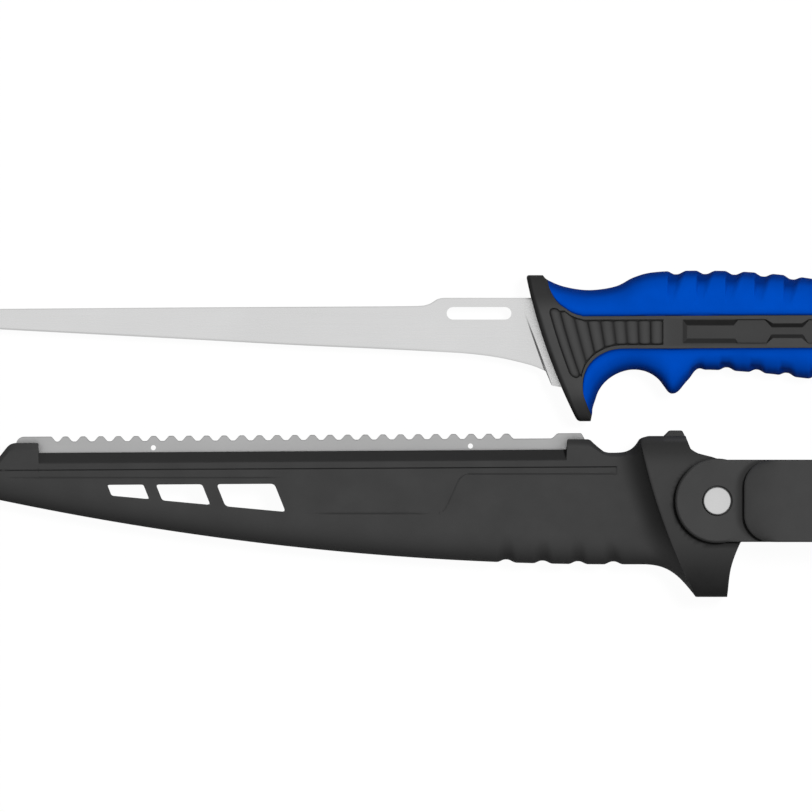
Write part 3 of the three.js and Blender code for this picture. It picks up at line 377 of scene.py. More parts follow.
def pierce_all(
    along: Array, x: Array, y: Array, holes: list[tuple[Array, Array]]
) -> tuple[Array, list[Array]]:
    """Clears a grid round holes, and gives the cells that stay and the rings of each hole."""
    cut = [pierce(along, x, y, *hole) for hole in holes]
    return np.logical_and.reduce([keep for keep, _ in cut]), [rings for _, rings in cut]


def lift(flat: Array, height: Array) -> Array:
    """Adds a third coordinate to flat points."""
    return np.concatenate([flat, height[..., None]], axis=-1)


def closed(ring: Array) -> Array:
    """Repeats a ring's first point at its end, along the second axis."""
    return beside(ring, ring[:, :1])


# Materials


class Tree:
    """Short calls that fill one node tree."""

    NOISE_LOW = 0.3
    NOISE_HIGH = 0.7

    def __init__(self, tree: NodeTree) -> None:
        """Keeps the tree that the calls work on."""
        self._tree = tree

    def add(self, kind: str, **values: object) -> Node:
        """Adds a node.

        Args:
            kind: The node's type.
            values: Its properties by name.

        Returns:
            The new node.
        """
        node = self._tree.nodes.new(kind)
        for name, value in values.items():
            setattr(node, name, value)
        return node

    def _put(self, socket: NodeSocket, value: object) -> None:
        """Feeds an input from another socket, or sets it to a number or a colour.

        Args:
            socket: The input.
            value: What goes into it.
        """
        if isinstance(value, NodeSocket):
            self._tree.links.new(value, socket)
        elif socket.type == "RGBA":
            socket.default_value = (*value, 1.0)
        else:
            socket.default_value = value

    def feed(self, node: Node, **values: object) -> Node:
        """Sets or links a node's inputs.

        Args:
            node: The node to feed.
            values: For each input, named with _ for a space, a value or the socket that feeds it.

        Returns:
            The same node.
        """
        for name, value in values.items():
            self._put(node.inputs[name.replace("_", " ")], value)
        return node

    def math(self, operation: str, *values: object) -> NodeSocket:
        """Puts values through one sum.

        Args:
            operation: The sum's name.
            values: Numbers, or the sockets that give them.

        Returns:
            The socket with the result.
        """
        node = self.add("ShaderNodeMath", operation=operation)
        for socket, value in zip(node.inputs, values):
            self._put(socket, value)
        return node.outputs[0]

    def between(self, share: object, low: object, high: object) -> NodeSocket:
        """Mixes two colours.

        Args:
            share: How much of the second colour there is, 0 to 1.
            low: The first colour.
            high: The second colour.

        Returns:
            The socket with the mixed colour.
        """
        node = self.add("ShaderNodeMix", data_type="RGBA")
        for index, value in ((0, share), (6, low), (7, high)):
            self._put(node.inputs[index], value)
        return node.outputs[2]

    def spread(self, value: object, low: float, high: float) -> NodeSocket:
        """Maps the stretch where noise mostly lies onto the stretch from low to high."""
        node = self.feed(self.add("ShaderNodeMapRange"), Value=value, To_Min=low, To_Max=high)
        return self.feed(node, From_Min=self.NOISE_LOW, From_Max=self.NOISE_HIGH).outputs[0]

    def noise(self, place: object, scale: object, detail: float, rough: float) -> NodeSocket:
        """Adds a noise of a scale, with finer layers of a strength, and gives its socket."""
        node = self.add("ShaderNodeTexNoise")
        return self.feed(node, Vector=place, Scale=scale, Detail=detail, Roughness=rough).outputs["Fac"]

    def group(self, made: NodeTree, **values: object) -> Node:
        """Adds a node group and feeds it."""
        return self.feed(self.add("ShaderNodeGroup", node_tree=made), **values)

    def bump(self, height: object, strength: float, distance: float) -> NodeSocket:
        """Adds a bump and gives the socket with its normal."""
        node = self.add("ShaderNodeBump")
        return self.feed(node, Height=height, Strength=strength, Distance=distance).outputs["Normal"]


def node_group(
    name: str, inputs: dict[str, str], outputs: dict[str, str]
) -> tuple[NodeTree, Tree, Node, Node]:
    """Starts a shader node group with named sockets.

    Args:
        name: The group's name.
        inputs: Input names and their socket kinds.
        outputs: Output names and their socket kinds.

    Returns:
        The group, calls on its tree, its input node and its output node.
    """
    group = bpy.data.node_groups.new(name, "ShaderNodeTree")
    for title, kind in inputs.items():
        group.interface.new_socket(title, in_out="INPUT", socket_type=kind)
    for title, kind in outputs.items():
        group.interface.new_socket(title, in_out="OUTPUT", socket_type=kind)
    tree = Tree(group)
    return group, tree, tree.add("NodeGroupInput"), tree.add("NodeGroupOutput")


FLOAT = "NodeSocketFloat"
VECTOR = "NodeSocketVector"


@cache
def moulded_grain() -> NodeTree:
    """Gives the fine eroded grain of a mould and the cloudy tone of the melt that filled it.

    Returns:
        A group with a Height for the bump and a Cloud from 0 to 1.
    """
    sockets = {"Vector": VECTOR, "Grain": FLOAT, "Clouds": FLOAT}
    group, tree, source, result = node_group(
        "moulded_grain", sockets, {"Height": FLOAT, "Cloud": FLOAT}
    )
    place, grain = source.outputs["Vector"], source.outputs["Grain"]
    fine = tree.noise(place, grain, 3.0, 0.65)
    pits = tree.feed(tree.add("ShaderNodeTexVoronoi"), Vector=place, Scale=grain)
    clouds = tree.noise(place, source.outputs["Clouds"], 4.0, 0.55)
    pit_share = 0.6
    height = tree.math("MULTIPLY_ADD", pits.outputs["Distance"], pit_share, fine)
    tree.feed(result, Height=height, Cloud=clouds)
    return group


@cache
def hollow_shade() -> NodeTree:
    """Weighs the painted shade of a moulding's hollows, turned edges and shadows, further in some places than
    in others.

    Returns:
        A group with a Mask from 0 to 1.
    """
    sockets = {"Hollow": FLOAT, "Cloud": FLOAT, "Amount": FLOAT}
    group, tree, source, result = node_group("hollow_shade", sockets, {"Mask": FLOAT})
    patch = tree.spread(source.outputs["Cloud"], 0.8, 1.0)
    sunk = tree.math("MULTIPLY", source.outputs["Hollow"], source.outputs["Amount"])
    tree.feed(result, Mask=tree.math("MULTIPLY", sunk, patch))
    return group


@cache
def brush_lines() -> NodeTree:
    """Gives the long fine lines that a belt leaves in ground steel.

    Returns:
        A group with a Streak from 0 to 1, a Height for the bump and a broad Cloud.
    """
    sockets = {"Vector": VECTOR, "Along": FLOAT, "Across": FLOAT, "Clouds": FLOAT}
    group, tree, source, result = node_group(
        "brush_lines", sockets, {"Streak": FLOAT, "Height": FLOAT, "Cloud": FLOAT}
    )
    place, across = source.outputs["Vector"], source.outputs["Across"]
    stretch = tree.add("ShaderNodeCombineXYZ")
    tree.feed(stretch, X=source.outputs["Along"], Y=across, Z=across)
    drawn = tree.feed(tree.add("ShaderNodeMapping"), Vector=place, Scale=stretch.outputs["Vector"])
    streak = tree.noise(drawn.outputs["Vector"], 1.0, 5.0, 0.7)
    clouds = tree.noise(place, source.outputs["Clouds"], 3.0, 0.5)
    tree.feed(result, Streak=streak, Height=streak, Cloud=clouds)
    return group


def blank_material(name: str) -> tuple[Material, Tree, Node]:
    """Starts a material with a Principled shader on its output.

    Args:
        name: The material's name.

    Returns:
        The material, calls on its tree and the shader node.
    """
    made = bpy.data.materials.new(name)
    made.use_nodes = True
    made.node_tree.nodes.clear()
    tree = Tree(made.node_tree)
    shader = tree.add("ShaderNodeBsdfPrincipled")
    tree.feed(tree.add("ShaderNodeOutputMaterial"), Surface=shader.outputs["BSDF"])
    return made, tree, shader


def grey(level: float) -> Colour:
    """Gives a colour with no hue."""
    return (level, level, level)


@dataclass(frozen=True)
class Moulding:
    """A moulded plastic or rubber: cloudy tone, eroded grain and painted shade in hollows and shadows."""

    name: str
    dark: Colour
    light: Colour
    # Colour of the painted shade in hollows, on turned edges and under shadows.
    shade: Colour
    shade_amount: float = 1.0
    rough_low: float = 0.5
    rough_high: float = 0.66
    specular: float = 0.05
    grain: float = 5200.0
    clouds: float = 90.0
    relief: float = 0.16
    grain_height: float = 0.00012

    @cache
    def material(self) -> Material:
        """Builds the material, once.

        Returns:
            The material, which all pieces of this finish share.
        """
        made, tree, shader = blank_material(self.name)
        place = tree.add("ShaderNodeTexCoord").outputs["Object"]
        grain = tree.group(moulded_grain(), Vector=place, Grain=self.grain, Clouds=self.clouds)
        height, cloud = grain.outputs["Height"], grain.outputs["Cloud"]
        sunk = tree.add("ShaderNodeAttribute", attribute_name="hollow").outputs["Fac"]
        shade = tree.group(hollow_shade(), Hollow=sunk, Cloud=cloud, Amount=self.shade_amount)
        tone = tree.between(tree.spread(cloud, 0.0, 1.0), self.dark, self.light)
        # The hollow mask mixes the painted shade colour into the tone.
        colour = tree.between(shade.outputs["Mask"], tone, self.shade)
        rough = tree.spread(height, self.rough_low, self.rough_high)
        bump = tree.bump(height, self.relief, self.grain_height)
        tree.feed(shader, Base_Color=colour, Roughness=rough, Normal=bump)
        tree.feed(shader, Specular_IOR_Level=self.specular)
        return made


@dataclass(frozen=True)
class Steel:
    """Ground steel: fine lines along X, cloudy tone and uneven gloss."""

    name: str
    dark: Colour
    light: Colour
    rough_low: float = 0.3
    rough_high: float = 0.44
    along: float = 26.0
    across: float = 5200.0
    clouds: float = 46.0
    relief: float = 0.06
    line_height: float = 0.00006
    streak_share: float = 0.6
    cloud_share: float = 0.4

    @cache
    def material(self) -> Material:
        """Builds the material, once.

        Returns:
            The material, which all pieces of this finish share.
        """
        made, tree, shader = blank_material(self.name)
        place = tree.add("ShaderNodeTexCoord").outputs["Object"]
        lines = tree.group(brush_lines(), Vector=place, Along=self.along, Across=self.across)
        tree.feed(lines, Clouds=self.clouds)
        cloud = tree.math("MULTIPLY", lines.outputs["Cloud"], self.cloud_share)
        mixed = tree.math("MULTIPLY_ADD", lines.outputs["Streak"], self.streak_share, cloud)
        colour = tree.between(tree.spread(mixed, 0.0, 1.0), self.dark, self.light)
        rough = tree.spread(lines.outputs["Streak"], self.rough_low, self.rough_high)
        bump = tree.bump(lines.outputs["Height"], self.relief, self.line_height)
        tree.feed(shader, Base_Color=colour, Roughness=rough, Normal=bump, Metallic=1.0)
        return made


BLACK_PLASTIC = Moulding("moulded_black", dark=grey(0.0482), light=grey(0.0553), shade=grey(0.010))
CORE_PLASTIC = Moulding("moulded_core", dark=grey(0.060), light=grey(0.068), shade=grey(0.010))
LOOP_PLASTIC = Moulding("moulded_loop", dark=grey(0.0545), light=grey(0.0615), shade=grey(0.012))
WASHER_PLASTIC = Moulding("slip_washer", dark=grey(0.016), light=grey(0.024), shade=grey(0.03))
BLUE_RUBBER = Moulding(
    "soft_blue", dark=(0.0, 0.066, 0.48), light=(0.0, 0.074, 0.53), shade=(0.0, 0.012, 0.12),
    shade_amount=0.8, rough_low=0.55, rough_high=0.7, specular=0.02,
    grain=3600.0, clouds=120.0, relief=0.2,
)
BLADE_STEEL = Steel("ground_steel", grey(0.65), grey(0.715), rough_low=0.24, rough_high=0.33)
STRIP_STEEL = Steel("stamped_steel", grey(0.45), grey(0.51), rough_low=0.4, rough_high=0.52)
RIVET_STEEL = Steel("turned_steel", grey(0.61), grey(0.71), along=900.0, across=900.0)


# The pieces


def dress(made: Object, finish: Moulding | Steel, slot: str, body: Body, *nodes: str) -> None:
    """Gives a piece its finish, its body and the CAD nodes that it stands for.

    Args:
        made: The piece.
        finish: What it is made of.
        slot: A material slot's name, not used.
        body: The body that it rides on.
        nodes: The CAD nodes that it replaces.
    """
    made.data.materials.append(finish.material())
    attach(made, body.value)
    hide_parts(*nodes)
    LOG.info("%s: %d faces on %s", made.name, len(made.data.polygons), body.value)


@dataclass(frozen=True)
class GuardLine:
    """The slanted, slightly bowed front of the guard, which the sheath's mouth repeats."""

    rise: float = 16.8
    drop: float = 26.3
    lean: float = 15.15
    bow: float = 1.6

    def _raw(self, y: Array) -> Array:
        """Lean times the share of the way down, less four bows times that share and the rest."""
        share = (self.rise - y) / (self.rise + self.drop)
        return self.lean * share - 4 * self.bow * share * (1 - share)

    def front(self, y: Array) -> Array:
        """Gives the guard's front at a height, 0 on the handle's axis."""
        return self._raw(np.asarray(y, dtype=float)) - self._raw(np.zeros(1))[0]


class SideView(ABC):
    """What the outlines of the handle and of the sheath share: lines read at slanted stations."""

    @abstractmethod
    def station(self, x: Array, y: Array) -> Array:
        """Finds the slanted stations that points lie on."""

    @abstractmethod
    def _top_line(self) -> Array:
        """Gives the side view's upper line."""

    @abstractmethod
    def _low_line(self) -> Array:
        """Gives the side view's lower line."""

    def __post_init__(self) -> None:
        """Works out the upper and the lower line once."""
        self._top = self._by_station(self._top_line())
        self._low = self._by_station(self._low_line())

    def _by_station(self, line: Array) -> tuple[Array, Array]:
        """Turns a side-view line into stations and heights, with the stations rising."""
        along = np.maximum.accumulate(self.station(line[:, 0], line[:, 1]))
        return along + 1e-5 * np.arange(len(along)), line[:, 1]

    def top(self, along: Array) -> Array:
        """Gives the upper line's height at a station."""
        return np.interp(along, *self._top)

    def low(self, along: Array) -> Array:
        """Gives the lower line's height at a station."""
        return np.interp(along, *self._low)


@dataclass
class HandleForm(SideView):
    """The handle's whole outer shape, before the black and the blue moulding share it."""

    guard: GuardLine = field(default_factory=GuardLine)
    length: float = 132.9
    side_half: float = 10.65
    guard_half: float = 10.6
    neck_half: float = 9.0
    palm_half: float = 11.5
    head_width: float = 4.9
    foot_width: float = 3.9
    slant_reach: float = 38.0
    spur: tuple[float, float] = (38.9, -18.15)
    front_bevel: float = 0.9
    band_top: float = 4.68
    band_low: float = -4.94
    band_end: float = 108.0

    def __post_init__(self) -> None:
        """Works out the outlines once, with the seams."""
        super().__post_init__()
        self._upper_border = self._by_station(self._upper_border_line())
        self._lower_border = self._by_station(self._lower_border_line())

    def fade(self, along: Array) -> Array:
        """Gives the share of the guard's slant that is left at a station."""
        return taper(along, 0.0, self.slant_reach)

    def station(self, x: Array, y: Array) -> Array:
        """Finds the slanted stations that points lie on, by repeated correction.

        Args:
            x: Places along.
            y: Heights.

        Returns:
            Stations.
        """
        place = np.array(x, dtype=float)
        for _ in range(14):
            place = x - self.guard.front(y) * self.fade(place)
        return place

    def _top_line(self) -> Array:
        """The side view's upper line: guard head, neck, crest and butt.

        Returns:
            Points from the guard to the butt.
        """
        rise, length = self.guard.rise, self.length
        start = float(self.guard.front(rise))
        head = [(start, rise), (start + self.head_width, rise)]
        points = [
            (start + self.head_width, rise), (2.1, 15.35), (7.0, 13.4), (14.2, 12.4),
            (22.0, 13.5), (27.5, 16.2), (33.6, 17.7), (46.0, 18.14), (60.8, 17.75), (77.9, 16.05),
            (length - 34.0, 12.3), (length - 16.0, 8.0), (length - 5.0, 4.0),
            (length - 1.0, -1.0), (length, -6.0),
        ]
        back = spline(points, 420)
        return np.vstack([head, back])

    def _low_line(self) -> Array:
        """The side view's lower line: guard foot, finger hollow, spur, belly and butt hook.

        Returns:
            Points from the guard to the butt.
        """
        drop, length = self.guard.drop, self.length
        start = float(self.guard.front(-drop))
        foot = [(start, -drop), (start + self.foot_width, -drop)]
        x, y = self.spur
        points = [
            (15.1, -24.2), (15.3, -22.3), (16.0, -20.1), (16.95, -17.5), (18.6, -15.1), (20.9, -13.15),
            (23.6, -11.8), (26.6, -11.1), (29.6, -11.28), (32.4, -12.28), (34.7, -13.95), (36.4, -16.15),
            (x - 1.3, y + 0.45), (x, y), (x + 1.7, y + 0.8), (x + 4.5, -14.1), (x + 8.0, -11.5),
            (x + 13.3, -11.2), (66.4, -12.2), (77.9, -13.6),
            (length - 38.0, -15.2), (length - 24.0, -16.6), (length - 9.0, -21.3),
            (length - 4.0, -19.6), (length - 1.0, -13.0), (length, -6.0),
        ]
        back = spline(points, 560)
        return np.vstack([foot, back])

    def _upper_border_line(self) -> Array:
        """The seam between the black and the upper blue, seen from the side.

        Returns:
            Points from the guard to the butt.
        """
        points = [
            (1.85, 15.55), (2.38, 13.3), (2.9, 12.0), (3.65, 10.5), (4.6, 9.1), (5.7, 8.0), (7.05, 7.05),
            (8.95, 5.8), (11.8, 4.87), (16.0, self.band_top), (73.0, self.band_top + 0.25),
        ]
        lobe = spline(points, 400)
        half = self.band_top + 0.35
        return np.vstack([lobe, arc((self.band_end - half, 0.0), half, 90.0, 0.0, 40)])

    def _lower_border_line(self) -> Array:
        """The seam between the black and the lower blue, seen from the side.

        Returns:
            Points from the guard to the butt.
        """
        points = [
            (14.97, -24.8), (14.1, -22.8), (13.3, -20.8), (12.6, -18.9), (12.3, -17.0), (12.28, -15.3),
            (12.5, -13.5), (13.0, -11.8), (14.0, -9.9), (15.6, -8.1), (17.75, -6.6), (20.3, -5.5),
            (23.3, -5.0), (27.0, self.band_low), (79.0, self.band_low + 0.24),
        ]
        lobe = spline(points, 400)
        half = -self.band_low - 0.3
        return np.vstack([lobe, arc((self.band_end - half, 0.0), half, -90.0, 0.0, 40)])

    def edge_distance(self, points: Array) -> Array:
        """Gives how far points lie from the upper or the lower line in the side view.

        Args:
            points: Rows by columns by 3.

        Returns:
            The least distance to the lines' points, rows by columns.
        """
        line = np.vstack([self._top_line(), self._low_line()])[::3]
        gap = points[..., None, :2] - line
        return np.sqrt((gap**2).sum(axis=-1).min(axis=-1))

    def lobe_start(self, upper: bool) -> float:
        """Gives the station where a blue lobe begins."""
        return float((self._upper_border if upper else self._lower_border)[0][0])

    def seam_rows(self) -> Array:
        """Gives close stations round the lobes' tips.

        Returns:
            Stations that both mouldings share, so that no gap shows.
        """
        tips = [self.lobe_start(True), self.lobe_start(False)]
        rows = runs((5.2, 5.7, 0.1), (5.7, 6.3, 0.03), (6.3, 9.0, 0.09))
        return np.unique(chain(rows, tips).round(6))

    def border(self, along: Array, upper: bool) -> Array:
        """Gives the seam's height: past the outline in the guard, 0 in the butt.

        Args:
            along: Stations.
            upper: Whether it is the upper seam.

        Returns:
            Heights.
        """
        line = self._upper_border if upper else self._lower_border
        outside = self.top(along) + 1.0 if upper else self.low(along) - 1.0
        return np.where(along <= line[0][0], outside, np.interp(along, *line))

    def section(self, along: Array) -> tuple[Array, Array, Array, Array]:
        """Gives an oval cross-section.

        Args:
            along: The station.

        Returns:
            The oval's middle height, its half height, its half thickness and its power.
        """
        length = self.length
        table = [
            (0.0, self.guard_half), (4.0, self.guard_half), (18.0, self.neck_half),
            (28.0, self.neck_half + 0.6), (38.0, 10.7), (55.0, self.palm_half - 0.1),
            (75.0, self.palm_half), (95.0, self.palm_half - 0.1), (length - 22.0, 10.7),
            (length - 10.0, 9.6), (length - 4.0, 7.0), (length - 1.0, 4.1), (length, 0.3),
        ]
        inset = self.front_bevel * (1.0 - edge_round(along, self.front_bevel))
        low, high = self.low(along), self.top(along)
        half = follow(table, along) - inset
        spur = smooth(along, 24.0, 34.0) * taper(along, 44.0, 60.0)
        power = 2.5 + 1.5 * taper(along, 2.0, 14.0) + 1.3 * spur
        return 0.5 * (low + high), np.maximum(0.5 * (high - low) - inset, 1e-3), half, power

    def angle(self, along: Array, height: Array) -> Array:
        """Gives the oval's angle at heights: 0 on top, a quarter turn at the side, half below.

        Args:
            along: Stations.
            height: Heights.

        Returns:
            Angles in radians.
        """
        middle, reach, _, power = self.section(along)
        share = np.clip((height - middle) / reach, -1.0, 1.0)
        return np.arccos(signed_power(share, power / 2))

    def skin(self, along: Array, share: Array) -> tuple[Array, Array]:
        """Gives points of the front skin and the way in from them.

        The height is the share of the oval's half height, the thickness is the oval's
        (1 - |share|^p)^(1/p) flattened softly at the sides, and x adds the faded slant.

        Args:
            along: Stations.
            share: Heights as shares of the oval, from -1 below to 1 on top.

        Returns:
            Points, and unit vectors that point into the handle.
        """
        middle, reach, half, power = self.section(along)
        rest = (1.0 - np.minimum(np.abs(share), 1.0) ** power) ** (1.0 / power)
        y = middle + reach * share
        x = along + self.guard.front(y) * self.fade(along)
        z = np.where(rest < 1e-5, 0.0, np.maximum(soft_least(half * rest, self.side_half, 0.5), 0.0))
        down = -signed_power(share, power - 1) / reach
        inward = -(rest ** (power - 1)) / half
        size = np.sqrt(down**2 + inward**2) + 1e-9
        way = join(np.zeros_like(y), down / size, inward / size)
        return join(x, y, z), way


@dataclass
class Knife:
    """The knife: ground blade, black core with guard and side bands, blue grip."""

    place: Place = Place(35.0, 29.9, 10.6)
    form: HandleForm = field(default_factory=HandleForm)
    tip: float = -203.0
    blade_half: float = 1.0
    tip_half: float = 0.45
    blade_end: float = 5.5
    plunge: float = -6.83
    plunge_slope: float = 0.361
    plunge_width: float = 0.9
    lean_start: float = -8.4
    lean_full: float = -6.9
    ground_edge: float = 0.2
    edge_bevel: float = 0.55
    heel: float = 1.3
    spine_bevel: float = 0.15
    spine_bevel_height: float = 0.4
    slot_left: float = -25.95
    slot_right: float = -10.55
    slot_height: float = 5.55
    slot_radius: float = 1.85
    core_wall: float = 1.6
    seam_round: float = 0.45
    core_round: float = 0.25
    grip_wall: float = 2.4
    rib_first: float = 3.6
    rib_pitch: float = 3.58
    rib_count: int = 10
    rib_depth: float = 1.0
    capsule_trim: float = 0.65
    rib_base: float = 0.16
    rib_edge: float = 0.24
    rib_cap: float = 0.7
    rib_low_trim: float = 0.5
    rib_top_trim: float = 0.8
    cap_length: float = 1.8
    frame_width: float = 1.25
    rib_top: float = 6.9
    rib_bottom: float = -13.4
    panel_start: float = 41.6
    panel_end: float = 103.6
    panel_depth: float = 1.7
    panel_end_slope: float = 1.5
    block_start: float = 66.5
    block_end: float = 78.6
    # Painted shade, 0 to 1: on the panel's walls, the guard's front, edges and face, and along the band.
    upper_wall_shade: float = 0.84
    lower_wall_shade: float = 0.7
    end_wall_shade: float = 0.5
    front_shade: float = 0.92
    face_shade: float = 0.35
    head_shade: float = 0.6
    foot_shade: float = 0.65
    band_shade: float = 0.2
    top_notch_first: float = 40.0
    top_notch_pitch: float = 8.55
    top_notch_count: int = 7
    top_notch_lead: float = 2.9
    top_notch_width: float = 5.9
    top_notch_narrowing: float = 3.9
    top_notch_reach: float = 10.5
    top_notch_depth: float = 1.0
    low_notch_first: float = 46.05
    low_notch_pitch: float = 8.85
    low_notch_count: int = 6
    low_notch_lead: float = 2.7
    low_notch_width: float = 5.4
    low_notch_reach: float = 4.6
    low_notch_depth: float = 0.9
    lanyard_middle: tuple[float, float] = (122.0, -8.0)
    lanyard_radius: float = 3.2

    def build(self) -> None:
        """Makes the knife's three pieces."""
        dress(self.blade(), BLADE_STEEL, "blade_steel", Body.KNIFE, "blade")
        dress(self.core(), CORE_PLASTIC, "black_plastic", Body.KNIFE, "handle_core")
        dress(self.grip(), BLUE_RUBBER, "blue_rubber", Body.KNIFE, "blue_grip")

    # Blade

    def _spine(self, x: Array) -> Array:
        """The blade's upper line, with the hump in front of the guard."""
        line = [
            (-203.0, 6.4), (-159.6, 6.84), (-100.6, 7.3), (-47.5, 7.58), (-36.4, 7.7), (-34.4, 7.85),
            (-32.7, 8.35), (-30.6, 9.7), (-29.6, 10.0), (-28.4, 10.1), (20.0, 10.1),
        ]
        return follow(line, x)

    def _edge(self, x: Array) -> Array:
        """The blade's cutting edge, sweeping up to the tip and down to the heel.

        Args:
            x: Places along.

        Returns:
            Heights.
        """
        points = [
            (-203.0, 6.3), (-200.5, 5.1), (-195.0, 3.75), (-186.0, 2.6), (-175.0, 1.75),
            (-159.6, 0.8), (-130.1, -0.74), (-100.6, -2.3), (-71.1, -3.9), (-47.5, -4.96),
            (-29.8, -5.84), (-20.9, -6.43), (-12.1, -7.6), (-3.2, -9.7), (1.2, -11.4),
        ]
        line = spline(points, 300)
        heel = [(1.4, -11.6), (2.95, -15.3), (3.3, -15.8), (5.6, -16.2), (20.0, -16.2)]
        return follow(np.vstack([line, heel]), x)

    def _blade_half(self, x: Array, y: Array) -> Array:
        """Gives half the blade's thickness: a flat grind up to the plunge line, then the full stock.

        Args:
            x: Places along.
            y: Heights.

        Returns:
            Half thicknesses.
        """
        low, high = self._edge(x), self._spine(x)
        stock = self.tip_half + (self.blade_half - self.tip_half) * smooth(x, self.tip, -60.0)
        up = unit((y - low) / np.maximum(high - low, 0.1))
        ground = self.ground_edge + (stock - self.ground_edge) * unit(up * 1.04)
        behind = smooth(x - self._lean(y) - self.plunge, 0.0, self.plunge_width)
        half = ground + (stock - ground) * behind
        bevel = 0.05 + 0.95 * unit((y - low) / self.edge_bevel)
        half *= np.where(x < self.heel, bevel, 1.0)
        return half - self.spine_bevel * (1.0 - unit((high - y) / self.spine_bevel_height))

    def _lean(self, y: Array) -> Array:
        """Gives how far the plunge line has moved towards the guard at a height."""
        return (self._spine(np.zeros(1))[0] - y) * self.plunge_slope

    def blade(self) -> Object:
        """Makes the blade: a height surface over rows across it.

        Near the plunge line the rows turn parallel to it.

        Returns:
            The blade.
        """
        start, full = self.lean_start, self.lean_full
        along = runs(
            (self.tip, -195.0, 0.25), (-195.0, -38.0, 1.2), (-38.0, -28.0, 0.2), (-28.0, start, 0.5),
            (start, full, 0.08), (full, -5.4, 0.055), (-5.4, 0.0, 0.26), (0.0, self.blade_end, 0.5),
        )
        share = chain([0.0, 0.02, 0.045], np.linspace(0.08, 0.94, 36), [0.966, 0.983, 1.0])
        row = np.broadcast_to(along[:, None], (len(along), len(share)))
        x = row
        for _ in range(40):
            low, high = self._edge(x), self._spine(x)
            y = low + (high - low) * share
            x = row + self._lean(y) * smooth(row, start, full)
        slot = np.vstack(
            [
                arc((self.slot_right, self.slot_height), self.slot_radius, -90.0, 90.0, 24),
                arc((self.slot_left, self.slot_height), self.slot_radius, 90.0, 270.0, 24),
            ]
        )
        keep, rings = pierce(along, x, y, slot, slot[:, 0])
        skin = Skin()
        faces = []
        for face in Face:
            faces.append(join(x, y, self._blade_half(x, y) * face.value))
            skin.grid(faces[-1], keep=keep)
            rim = self._blade_half(rings[..., 0], rings[..., 1]) * face.value
            skin.grid(closed(lift(rings, rim)))
        last = rings[-1:]
        wall = [lift(last, self._blade_half(last[..., 0], last[..., 1]) * f.value) for f in Face]
        skin.grid(closed(chain(*wall)))
        skin.close_borders(*faces)
        return skin.make("ground_blade", self.place)

    # Black core

    def _rib_limits(self, along: Array) -> tuple[Array, Array]:
        """Gives the ribs' lower and upper ends: a frame's width inside the seams, or where they stop."""
        lower = np.maximum(self.form.border(along, False) + self.frame_width, self.rib_bottom)
        return lower, np.minimum(self.form.border(along, True) - self.frame_width, self.rib_top)

    def _rib_relief(self, along: Array, height: Array) -> tuple[Array, Array]:
        """Sinks the ribbed field: round-backed ribs, the first of them a capsule.

        Args:
            along: Stations.
            height: Heights.

        Returns:
            Depths, and the painted shade on the ribs, which grows from each back to its valleys.
        """
        first = self.rib_first
        number = np.clip(np.floor((along - first) / self.rib_pitch), 0, self.rib_count - 2)
        capsule = number < 1
        trim = np.where(capsule, self.capsule_trim, 0.0)
        half = 0.5 * (self.rib_pitch - trim)
        middle = first + number * self.rib_pitch + trim + half
        lower, upper = self._rib_limits(np.where(capsule, middle, along))
        lower = np.where(capsule, lower, np.maximum(lower, self.rib_bottom + self.rib_low_trim))
        upper = np.where(capsule, upper, np.minimum(upper, self.rib_top - self.rib_top_trim))
        inside = np.minimum(upper - height, height - lower)
        cap = np.where(capsule, half, self.rib_cap)
        off = np.hypot((along - middle) / half, np.clip(1.0 - inside / cap, 0.0, None))
        dome = 1.0 - np.sqrt(1.0 - np.minimum(off, 1.0) ** 2)
        edge = np.where(capsule, half * (off - 1.0), -inside)
        last = first + self.rib_pitch * (self.rib_count - 1)
        edge = np.maximum.reduce([edge, first - along, along - last])
        field_mask = taper(edge, 0.0, self.rib_edge)
        depth = (self.rib_base + (self.rib_depth - self.rib_base) * dome) * field_mask
        return depth, (0.42 * np.minimum(off, 1.0) ** 2 + 0.45 * dome) * field_mask

    def _panel_lines(self, along: Array) -> tuple[Array, Array, Array, Array]:
        """Gives the sunk panel's wall lines, which run in and out round four raised blocks.

        Args:
            along: Stations.

        Returns:
            Heights of the lower wall's top and foot, then of the upper wall's foot and top.
        """
        start, end = self.panel_start, self.panel_end
        low_top = [(start, -3.41), (66.5, -3.36), (68.3, -1.85), (76.8, -1.85), (78.6, -3.36), (end, -3.41)]
        low_foot = [
            (start, -1.83), (57.2, -1.83), (58.0, -3.15), (66.4, -3.15), (67.9, -0.65),
            (77.2, -0.65), (78.7, -3.15), (85.9, -3.15), (87.1, -1.83), (end, -1.83),
        ]
        high_foot = [
            (start, 1.86), (56.8, 1.86), (58.0, 3.5), (66.0, 3.5), (68.0, 1.33),
            (77.1, 1.33), (79.0, 3.5), (85.9, 3.5), (87.1, 1.86), (end, 1.86),
        ]
        high_top = [(start, 3.71), (66.3, 3.75), (68.3, 2.6), (76.8, 2.6), (78.8, 3.75), (end, 3.71)]
        return tuple(follow(line, along) for line in (low_top, low_foot, high_foot, high_top))

    def _panel_slope(self, along: Array, height: Array) -> tuple[Array, Array]:
        """Gives how sunk the panel is and the painted shade on its walls.

        Args:
            along: Stations.
            height: Heights.

        Returns:
            The share of the panel's depth, and a painted shade that is even on each wall and 0 elsewhere.
        """
        low_top, low_foot, high_foot, high_top = self._panel_lines(along)
        above = unit((high_top - height) / (high_top - high_foot))
        below = unit((height - low_top) / (low_foot - low_top))
        ends = unit((along - self.panel_start) / self.panel_end_slope)
        ends *= unit((self.panel_end - along) / self.panel_end_slope)
        sunk = np.minimum.reduce([above, below, ends])
        side = np.where(above < below, self.upper_wall_shade, self.lower_wall_shade)
        side = np.where(ends < np.minimum(above, below), self.end_wall_shade, side)
        return sunk, side * unit(8.0 * sunk) * unit(8.0 * (1.0 - sunk))

